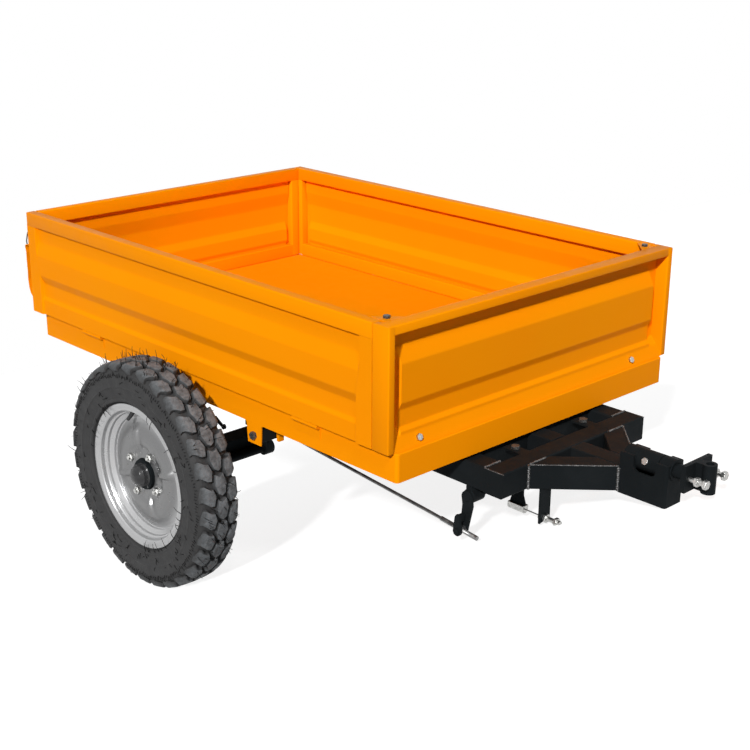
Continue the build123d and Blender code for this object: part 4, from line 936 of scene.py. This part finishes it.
def tread_block(outline, sag, line, side):
    """Rings of one block: its outline drawn in to the middle, let down along the tread's normal by sag."""
    a0, w0, r0, n0 = line
    outline = np.asarray(outline, float)
    centre = outline.mean(0)
    thirds = np.arange(3)[None, :, None] / 3
    edge = (outline[:, None] + (np.roll(outline, -1, axis=0) - outline)[:, None] * thirds).reshape(-1, 2)
    size = np.linalg.norm(edge - centre, axis=1)[:, None]
    rings = [(grow, drop) for grow, drop, _ in BLOCK_RINGS] + [(-size * k, 0.0) for k in BLOCK_INSIDE]
    rows = []
    for grow, drop in rings:
        p = edge + (edge - centre) / size * grow
        a = np.abs(p[:, 0])
        depth = drop * np.interp(a, *sag)
        w = np.interp(a, a0, w0) - depth * np.interp(a, a0, n0[:, 0])
        r = np.interp(a, a0, r0) - depth * np.interp(a, a0, n0[:, 1])
        rows.append(np.stack([np.sign(p[:, 0]) * w * side, r, p[:, 1] / TYRE_R], -1))
    return np.stack(rows)


class TRAILER_OT_tyres(bpy.types.Operator):
    """Both tyres: a ribbed carcass under three rows of tread blocks between zigzag grooves, and hairs"""

    bl_idname = "trailer.tyres"
    bl_label = "Tyres"

    def execute(self, context):
        wheel = context.scene.trailer_wheels
        for name, s in (("left", 1), ("right", -1)):
            self.tread(name, s, wheel)
            hairs = self.hairs(s, wheel).make(f"tyre_{name}_hairs", 180)
            finish_piece(hairs, f"wheel_{name}", "tyre", finish="hair")
        return {"FINISHED"}

    def tread(self, name, s, wheel):
        """The carcass and its blocks as one mesh, with an attribute that says how worn each point is."""
        line = tread_frame()
        pitch = 2 * math.pi * TYRE_R / wheel.lugs
        sag = ((0, 34, 46, 58, 66), (wheel.tread_depth, wheel.tread_depth, 9.0, 4.8, 2.6))
        shape = Shape()
        carcass = CARCASS + [(-w, r) for w, r in reversed(CARCASS[:-1])]
        turned_profile(shape, s, rounded(carcass, 2.5, 3), wheel.turns, closed=True)
        worn = [np.zeros(shape.count)]
        level = np.array([wear for *_, wear in BLOCK_RINGS] + [1.0] * len(BLOCK_INSIDE))[:, None]
        blocks = ((MIDDLE_BLOCK, 0.5, 1), (OUTER_BLOCK, 0.0, 1), (OUTER_BLOCK, 0.0, -1))
        for k in range(wheel.lugs):
            for outline, shift, side in blocks:
                rows = tread_block(np.array(outline) * (1, pitch), sag, line, side)
                t = rows[..., 2] + (k + shift) * pitch / TYRE_R
                shape.grid(wheel_point(s, rows[..., 0], rows[..., 1], t), wrap_n=True)
                fade = np.interp(np.abs(rows[..., 0]), (36, 50), (1.0, 0.15))
                worn.append((level * fade).ravel())
        ob = mesh_object(f"tyre_{name}_tread", place(np.concatenate(shape.verts)), shape.faces, 50)
        ob.data.attributes.new("worn", "FLOAT", "POINT").data.foreach_set("value", np.concatenate(worn))
        outward(ob)
        finish_piece(ob, f"wheel_{name}", "tyre", f"tyre_{name}")

    def hairs(self, s, wheel):
        """Moulding hairs, thin tapered tubes: on the tread but for the contact patch, in a comb on the
        shoulder, lying over the sidewall and along the rim's edge."""
        rng = np.random.default_rng(7 if s > 0 else 11)
        shape = Shape()
        q = np.linspace(0, 1, len(HAIR_R))
        full = 2 * math.pi
        contact = math.pi - LEAN

        def strand(w, r, t):
            """One hair along these arrays of w, r and t."""
            tube(shape, wheel_point(s, w, r, t), HAIR_R, 5)

        for _ in range(wheel.hairs):
            t = rng.uniform(0, full)
            w0 = rng.uniform(-44, 46)
            length = rng.uniform(8, 28)
            bend = rng.uniform(-1, 1, 2)
            if abs(turn_from(t, contact)) < CONTACT_HALF:
                continue
            r0 = np.interp(abs(w0), (34, 46), (262.0, 252.0))
            strand(w0 + 5 * bend[0] * q ** 2, r0 + length * q, t + 0.03 * bend[1] * q ** 2)
        for t in np.arange(0, full, COMB_STEP):
            bend = rng.uniform(-1, 1, 3)
            w = 50.6 - 0.5 * q + 1.2 * np.sin(q * 2.6)
            strand(w, 232 + 3 * bend[0] + (9 + 3 * bend[1]) * q, t + 0.012 * bend[2] * q)
        for _ in range(wheel.hairs // 3):
            t, way = rng.uniform(0, full, 2)
            r0 = rng.uniform(184, 226)
            length = rng.uniform(6, 17)
            w = 50.4 + 1.6 * np.sin(q * 2.4)
            strand(w, r0 + length * math.cos(way) * q, t + length / r0 * math.sin(way) * q)
        for _ in range(wheel.hairs // 9):
            t = rng.uniform(0, full)
            length = rng.uniform(10, 30)
            bend = rng.uniform(-1, 1)
            strand(47.0 + 2.2 * np.sin(q * 2.4) - 2.0 * q ** 2, 177 - length * q, t + 0.06 * bend * q ** 2)
        return shape


# profiles of the rim and its disc as (w, r), from the outer lip inwards
RIM_FACE = [(39.2, 152.6), (39.4, 167.5), (40.2, 169), (41.4, 169), (42, 168), (42, 163.5),
            (40.2, 157.5), (39.6, 153), (37, 150.6), (28.5, 149.4), (25.6, 147.2), (24.8, 144.2),
            (18, 142.8), (15.6, 140.6), (14.8, 137.4), (9, 136.2), (6.4, 134.2), (5.4, 131.2)]
RIM_REAR = [(-40.2, 169), (-42, 168), (-42, 163.5), (-39.6, 153), (-37, 150.6), (-26, 149), (-18, 131),
            (0, 128.6)]
RIM_SEAT = [(-39.4, 167.5), (-39.0, 152.6), (-26, 151.4), (-17, 133), (12, 133), (22, 148), (26, 151.6),
            (36, 152.4)]
DISH = [(5.4, 131.2), (6.2, 127), (9.5, 118), (15, 108), (18.5, 100), (20.6, 90), (21.4, 80), (20.8, 71),
        (18.2, 63.5), (17.2, 55), (17.2, 37)]
HUB_DOME = [(17.4, 20), (17.4, 34), (21.5, 34), (22.5, 32.6), (23.3, 29.0), (29, 26.5), (37, 25.0),
            (44, 21.0), (48.5, 14.5), (50.6, 7), (51.0, 0.05)]
RIM_STEPS = 180
DISC_T = 4.0
RIBS = 4
FIRST_RIB = math.radians(-15)
VALVE_AT = math.radians(-14)


class TRAILER_OT_rims(bpy.types.Operator):
    """Both rims: a stepped drop-centre ring and a dished disc with four pressed ribs, nuts and a valve"""

    bl_idname = "trailer.rims"
    bl_label = "Rims"

    def execute(self, context):
        wheel = context.scene.trailer_wheels
        for name, s in (("left", 1), ("right", -1)):
            body = f"wheel_{name}"
            rim = self.rim(s, wheel).make(f"rim_{name}_pressed", 40)
            finish_piece(rim, body, "rim_silver", f"rim_{name}")
            nuts = self.nuts(s, wheel).make(f"wheel_nuts_{name}", 30)
            finish_piece(nuts, body, "zinc")
            valve = self.valve(s).make(f"valve_{name}", 35)
            finish_piece(valve, body, "tyre")
            dome = self.dome(s).make(f"hub_cap_{name}_dome", 40)
            finish_piece(dome, body, "black_paint", f"hub_cap_{name}", finish="hub_enamel")
        return {"FINISHED"}

    def rim(self, s, wheel):
        """The ring, a closed profile turned about the axle, and the disc: its dish raised along the ribs by
        a flat-topped bell across each one, and round the nuts."""
        shape = Shape()
        visible = rounded(RIM_FACE, 2.2, 4)
        inner = [(5.4, 127.2), (0, 127)] + [(w * 0.96, r - 3.2) for w, r in RIM_REAR[-2::-1]]
        outside = RIM_REAR[:1] + RIM_SEAT + RIM_FACE[:1]
        loop = np.concatenate([visible, rounded(inner, 2.0, 3)[1:], rounded(outside, 2.0, 3)])
        turned_profile(shape, s, loop, RIM_STEPS, closed=True)
        dish = rounded(DISH, 5.0, 5)
        r = np.linspace(131.0, 37.0, 72)[:, None]
        t = np.linspace(0, 2 * math.pi, RIM_STEPS, endpoint=False)[None]
        w = np.interp(-r, -dish[:, 1], dish[:, 0]) + np.zeros_like(t)
        half = np.interp(r, (48, 112), (4.0, 11.0))
        along = soft_step(r, 44, 66) * (1 - soft_step(r, 98, 120))
        for k in range(RIBS):
            d = turn_from(t, FIRST_RIB + k * 2 * math.pi / RIBS)
            w = w + wheel.rib * along * np.exp(-((r * np.sin(d) / half) ** 4)) * (np.cos(d) > 0)
            past = d - math.pi / RIBS
            nut = np.hypot(r * np.sin(past), r * np.cos(past) - wheel.stud_r)
            w = w + 1.8 * (1 - soft_step(nut, 12.5, 17.5))
        front = wheel_point(s, w, r, t)
        rear = wheel_point(s, w - DISC_T, r, t)
        shape.grid(np.concatenate([front, rear[::-1]]), wrap_m=True, wrap_n=True)
        return shape

    def nuts(self, s, wheel):
        """Four wheel nuts between the ribs, each a washer, a hexagon and the stud's end."""
        shape = Shape()
        out = (0, s, 0)
        for k in range(RIBS):
            c = wheel_point(s, 18.6, wheel.stud_r, FIRST_RIB + (k + 0.5) * 2 * math.pi / RIBS)
            lathe(shape, c, out, [(-1, 0.01), (-1, 10), (0.9, 10), (1.2, 9.4)], 24)
            hexagon(shape, c + out, out, 17.0, 8.0, 1.6)
            lathe(shape, c, out, [(9.0, 5.0), (12.5, 5.0), (13.4, 3.8), (13.4, 0)], 20)
        return shape

    def valve(self, s):
        """The valve: a rubber stem whose radius steps down along its path from the rim's well."""
        shape = Shape()
        q = np.linspace(0, 1, 9)
        radius = np.interp(q, (0, 0.08, 0.14, 0.5, 0.9, 1.0), (8.5, 8.5, 5.2, 4.6, 4.2, 3.6))
        tube(shape, wheel_point(s, 16 + 20 * q, 147 - 17 * q ** 0.8, VALVE_AT), radius, 20)
        return shape

    def dome(self, s):
        """The hub cap: a turned dome on a flange with three small screws."""
        shape = Shape()
        turned_profile(shape, s, rounded(HUB_DOME, 3.0, 4), 64)
        for k in range(3):
            screw = wheel_point(s, 22.0, 30.6, math.radians(25 + 120 * k))
            hexagon(shape, screw, (0, s, 0), 6.0, 3.2, 0.6)
        return shape


# ---------------------------------------------------------------- steelwork
# body, slot, bevel in mm, and the CAD nodes whose own shapes are kept
WORN = (
    ("chassis", "orange_paint", 0.0, "bed_tray"),
    ("chassis", "black_paint", 0.0, "chassis_rail_left chassis_rail_right front_crossbeam rear_crossbeam"),
    ("chassis", "black_paint", 2.5, "bed_cross_tube"),
    ("chassis", "black_paint", 3.0, "spine_rear spine_front"),
    ("chassis", "black_paint", 4.0, "drawbar_arm_left drawbar_arm_right"),
    ("chassis", "black_paint", 1.2, "hitch_box swivel_sleeve_rear swivel_sleeve_front"),
    ("chassis", "black_paint", 1.5, "axle_beam axle_hanger_left axle_hanger_right"),
    ("chassis", "black_paint", 1.2, "stub_axle_left stub_axle_right brake_shaft_brackets"),
    ("chassis", "black_paint", 1.0, "brake_cross_shaft brake_lever_left brake_lever_right"),
    ("chassis", "black_paint", 1.0, "brake_camshaft_left brake_camshaft_right"),
    ("chassis", "steel_rod", 0.0, "brake_rod_left brake_rod_right brake_cable"),
    ("chassis", "black_paint", 1.0, "cable_stop_post"),
    ("chassis", "zinc", 0.6, "cable_adjuster"),
    ("chassis", "zinc", 1.5, "cable_clamp"),
    ("chassis", "orange_paint", 0.5, "side_hinges_left side_hinges_right tailgate_hinges"),
    ("side_left", "orange_paint", 0.5, "side_board_knuckles_left"),
    ("side_right", "orange_paint", 0.5, "side_board_knuckles_right"),
    ("rear_gate", "orange_paint", 0.5, "tailgate_knuckles"),
    ("hitch_swivel", "black_paint", 1.0, "swivel_shaft"),
    ("hitch_swivel", "zinc", 0.6, "swivel_stop_bolt"),
    ("hitch_swivel", "black_paint", 1.2, "hitch_eye"),
    ("hitch_swivel", "zinc", 0.8, "hitch_stop_bolts"),
    ("wheel_left", "black_paint", 1.2, "hub_left"),
    ("wheel_right", "black_paint", 1.2, "hub_right"),
)
BOLT_BEVEL = 0.7


def weld(shape, start, end, r=3.0, pitch=4.0):
    """A weld bead between two points: a tube whose radius swells once a pitch."""
    a, b = np.asarray(start, float), np.asarray(end, float)
    length = np.linalg.norm(b - a)
    n = max(int(length / pitch * 6), 8)
    q = np.linspace(0, 1, n)
    swell = 1 + 0.22 * np.sin(q * length / pitch * 2 * math.pi)
    tube(shape, a + (b - a) * q[:, None], r * swell, 8)


class TRAILER_OT_steelwork(bpy.types.Operator):
    """Chassis, axle, hitch, brake and hinge pieces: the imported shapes, edges rounded, and what joins them"""

    bl_idname = "trailer.steelwork"
    bl_label = "Steelwork"

    def execute(self, context):
        for body, slot_name, bevel, nodes in WORN:
            for node in nodes.split():
                worn_copy(node, f"{node}_dressed", body, slot_name, bevel)
        self.bolts()
        self.closures()
        self.welds()
        self.levers()
        self.latches()
        return {"FINISHED"}

    def bolts(self):
        """The bed's bolts in two pieces: bright on the front board's lip, dull on the frame."""
        lip = BED_LEN / 2 - 20.0
        worn_copy("bed_bolts", "board_bolts", "chassis", "zinc", BOLT_BEVEL,
                  keep=lambda p: (p[:, 0] > lip) & (p[:, 2] > -40))
        worn_copy("bed_bolts", "frame_bolts", "chassis", "zinc", BOLT_BEVEL, "dull_steel",
                  keep=lambda p: (p[:, 0] <= lip) | (p[:, 2] <= -40))

    def closures(self):
        """End plates of the front crossbeam, the apron behind it and the tray's rear flange; the apron is a
        black plate that closes the cavity between the rails, partly a cross plate, partly painted shade for
        that cavity.
        """
        shape = Shape()
        end = round_rect(49.0, 54.0, 4.6) + [729.0, -97.5]
        for s in (1, -1):
            slab(shape, end, "y", (s * 229.0, s * 232.9))
            # the apron: a black plate between the rails, partly painted shade that darkens the cavity behind
            # the crossbeam
            u0, u1 = sorted((s * 24.0, s * 182.5))
            tube_up(shape, crosswise(640.0, -1), u0, u1, 0, 4, CHASSIS_FOOT, -65.0, 0.8)
        finish_piece(shape.make("chassis_closures", 32), "chassis", "black_paint")
        shape = Shape()
        flange = [(-640.0, -430.5), (-626.0, -430.5), (-626.0, 430.5), (-640.0, 430.5)]
        slab(shape, flange, "z", (-4.0, -1.2))
        finish_piece(shape.make("bed_tray_flange", 32), "chassis", "orange_paint")

    def welds(self):
        """Beads where the drawbar's arms meet the crossbeam and the hitch box, and along the upper edges; the
        bead along each arm's top outer edge is a painted highlight of that edge.
        """
        shape = Shape()
        rear, front = CROSSBEAM
        arm_x, arm_y = ARM_END
        top = CHASSIS_TOP
        for s in (1, -1):
            weld(shape, (front, s * 155.5, CHASSIS_FOOT), (front, s * 155.5, top - 1))
            weld(shape, (arm_x, s * arm_y, CHASSIS_FOOT), (arm_x, s * arm_y, top - 2))
            weld(shape, (front, s * 153.0, top), (front, s * 104.0, top), 2.2)
            weld(shape, (rear, s * 231.0, top), (rear, s * 186.0, top), 2.2)
            # painted highlight: a thin pale bead along the arm's top outer edge
            weld(shape, (front + 2, s * 154.0, top - 0.6), (arm_x - 0.5, s * 28.4, top - 0.6), 1.2)
            weld(shape, (front, s * 232.4, top - 0.8), (rear + 1, s * 232.4, top - 0.8), 1.0)
        weld(shape, (arm_x, arm_y - 6, top), (arm_x, 6 - arm_y, top), 2.4)
        finish_piece(shape.make("weld_beads_and_edge_highlight", 60), "chassis", "black_paint", finish="weld")

    def levers(self):
        """The outer cheek of each brake lever: a plate over the rod's end, bridged to the lever above it."""
        shape = Shape()
        x, z = ROD_END
        turn = np.linspace(-math.pi, 0, 21)
        foot = np.column_stack([x + 10.5 * np.cos(turn), z + 10.5 * np.sin(turn)])
        neck = [(x + 6.5, z + 31), (x + 3, z + 37), (x - 3, z + 37), (x - 6.5, z + 31)]
        outline = np.concatenate([foot, neck])
        for s in (1, -1):
            slab(shape, outline, "y", (s * 250.6, s * 256.4))
            u0, u1 = sorted((s * 231.0, s * 256.2))
            tube_along(shape, crosswise(x, 1), u0, u1, -5, 5, z + 19, z + 35, 1.5)
            hexagon(shape, (x, s * 256.0, z), (0, s, 0), 13.0, 5.0)
        finish_piece(shape.make("brake_lever_cheeks", 32), "chassis", "black_paint")

    def latches(self):
        """Tailgate latches: a bent handle plate across the corner, a wire bail through it and two rivets."""
        rear = -BED_LEN / 2
        line = [(0.5, 171), (12, 171), (22, 168), (17.5, 150), (18.5, 132), (17.5, 104), (19, 80), (16, 57),
                (10, 43), (0.5, 36)]
        bail = [(0.5, 207), (14, 205.5), (30, 195), (38.3, 172), (34, 153.5), (15, 138)]
        path = rounded(line, 9.0, 5)
        t = np.gradient(path, axis=0)
        n = np.stack([t[:, 1], -t[:, 0]], 1) / np.linalg.norm(t, axis=1)[:, None]
        ring = np.concatenate([path, (path + n * 1.8)[::-1]])
        loop = rounded(bail, 9.0, 6)
        for side, s in (("left", 1), ("right", -1)):
            y = s * 433.0
            handle = Shape()
            slab(handle, ring * (-1, 1) + (rear, 0), "y", (y - 15.0, y + 15.0))
            ob = handle.make(f"tailgate_latch_{side}_handle", 40)
            finish_piece(ob, "rear_gate", "orange_paint", f"tailgate_latch_{side}")
            wire = Shape()
            tube(wire, np.column_stack([rear - loop[:, 0], np.full(len(loop), y), loop[:, 1]]), 1.6, 10)
            for w in (-11.0, 11.0):
                for d, h in ((18.0, 146.0), (18.5, 112.0)):
                    rivet = [(0, 3.8), (1.6, 3.4), (2.6, 1.8), (2.8, 0)]
                    lathe(wire, (rear - d, y + w, h), (-1, 0, 0), rivet, 16)
            ob = wire.make(f"tailgate_latch_{side}_bail", 40)
            finish_piece(ob, "rear_gate", "steel_rod", finish="dull_steel")


# ---------------------------------------------------------------- add-on
class TRAILER_PT_panel(bpy.types.Panel):
    """Lists the trailer's settings and operators"""

    bl_idname = "TRAILER_PT_panel"
    bl_label = "Garden Tractor Trailer"
    bl_space_type = "VIEW_3D"
    bl_region_type = "UI"
    bl_category = "Trailer"

    def draw(self, context):
        """One box for each group of settings, then a button for each operator."""
        layout = self.layout
        scene = context.scene
        for group in (getattr(scene, name) for name in GROUPS):
            box = layout.box()
            for prop in group.bl_rna.properties:
                if prop.identifier not in ("rna_type", "name"):
                    box.prop(group, prop.identifier)
        for op in OPERATORS:
            layout.operator(op.bl_idname)


GROUPS = {
    "trailer_look": TrailerLook,
    "trailer_boards": TrailerBoards,
    "trailer_wheels": TrailerWheels,
    "trailer_stage": TrailerStage,
}
OPERATORS = (
    TRAILER_OT_side_boards,
    TRAILER_OT_tailgate,
    TRAILER_OT_front_board,
    TRAILER_OT_tyres,
    TRAILER_OT_rims,
    TRAILER_OT_steelwork,
    TRAILER_OT_stage,
)


def register():
    """Registers the classes and gives the scene its groups of settings."""
    for cls in (*GROUPS.values(), *OPERATORS, TRAILER_PT_panel):
        bpy.utils.register_class(cls)
    for name, group in GROUPS.items():
        setattr(bpy.types.Scene, name, bpy.props.PointerProperty(type=group))


def unregister():
    """Takes back what register() gave."""
    for name in GROUPS:
        delattr(bpy.types.Scene, name)
    for cls in (TRAILER_PT_panel, *reversed(OPERATORS), *reversed(GROUPS.values())):
        bpy.utils.unregister_class(cls)


def main():
    register()
    for op in OPERATORS:
        group, name = op.bl_idname.split(".")
        getattr(getattr(bpy.ops, group), name)()


if __name__ == "__main__":
    main()
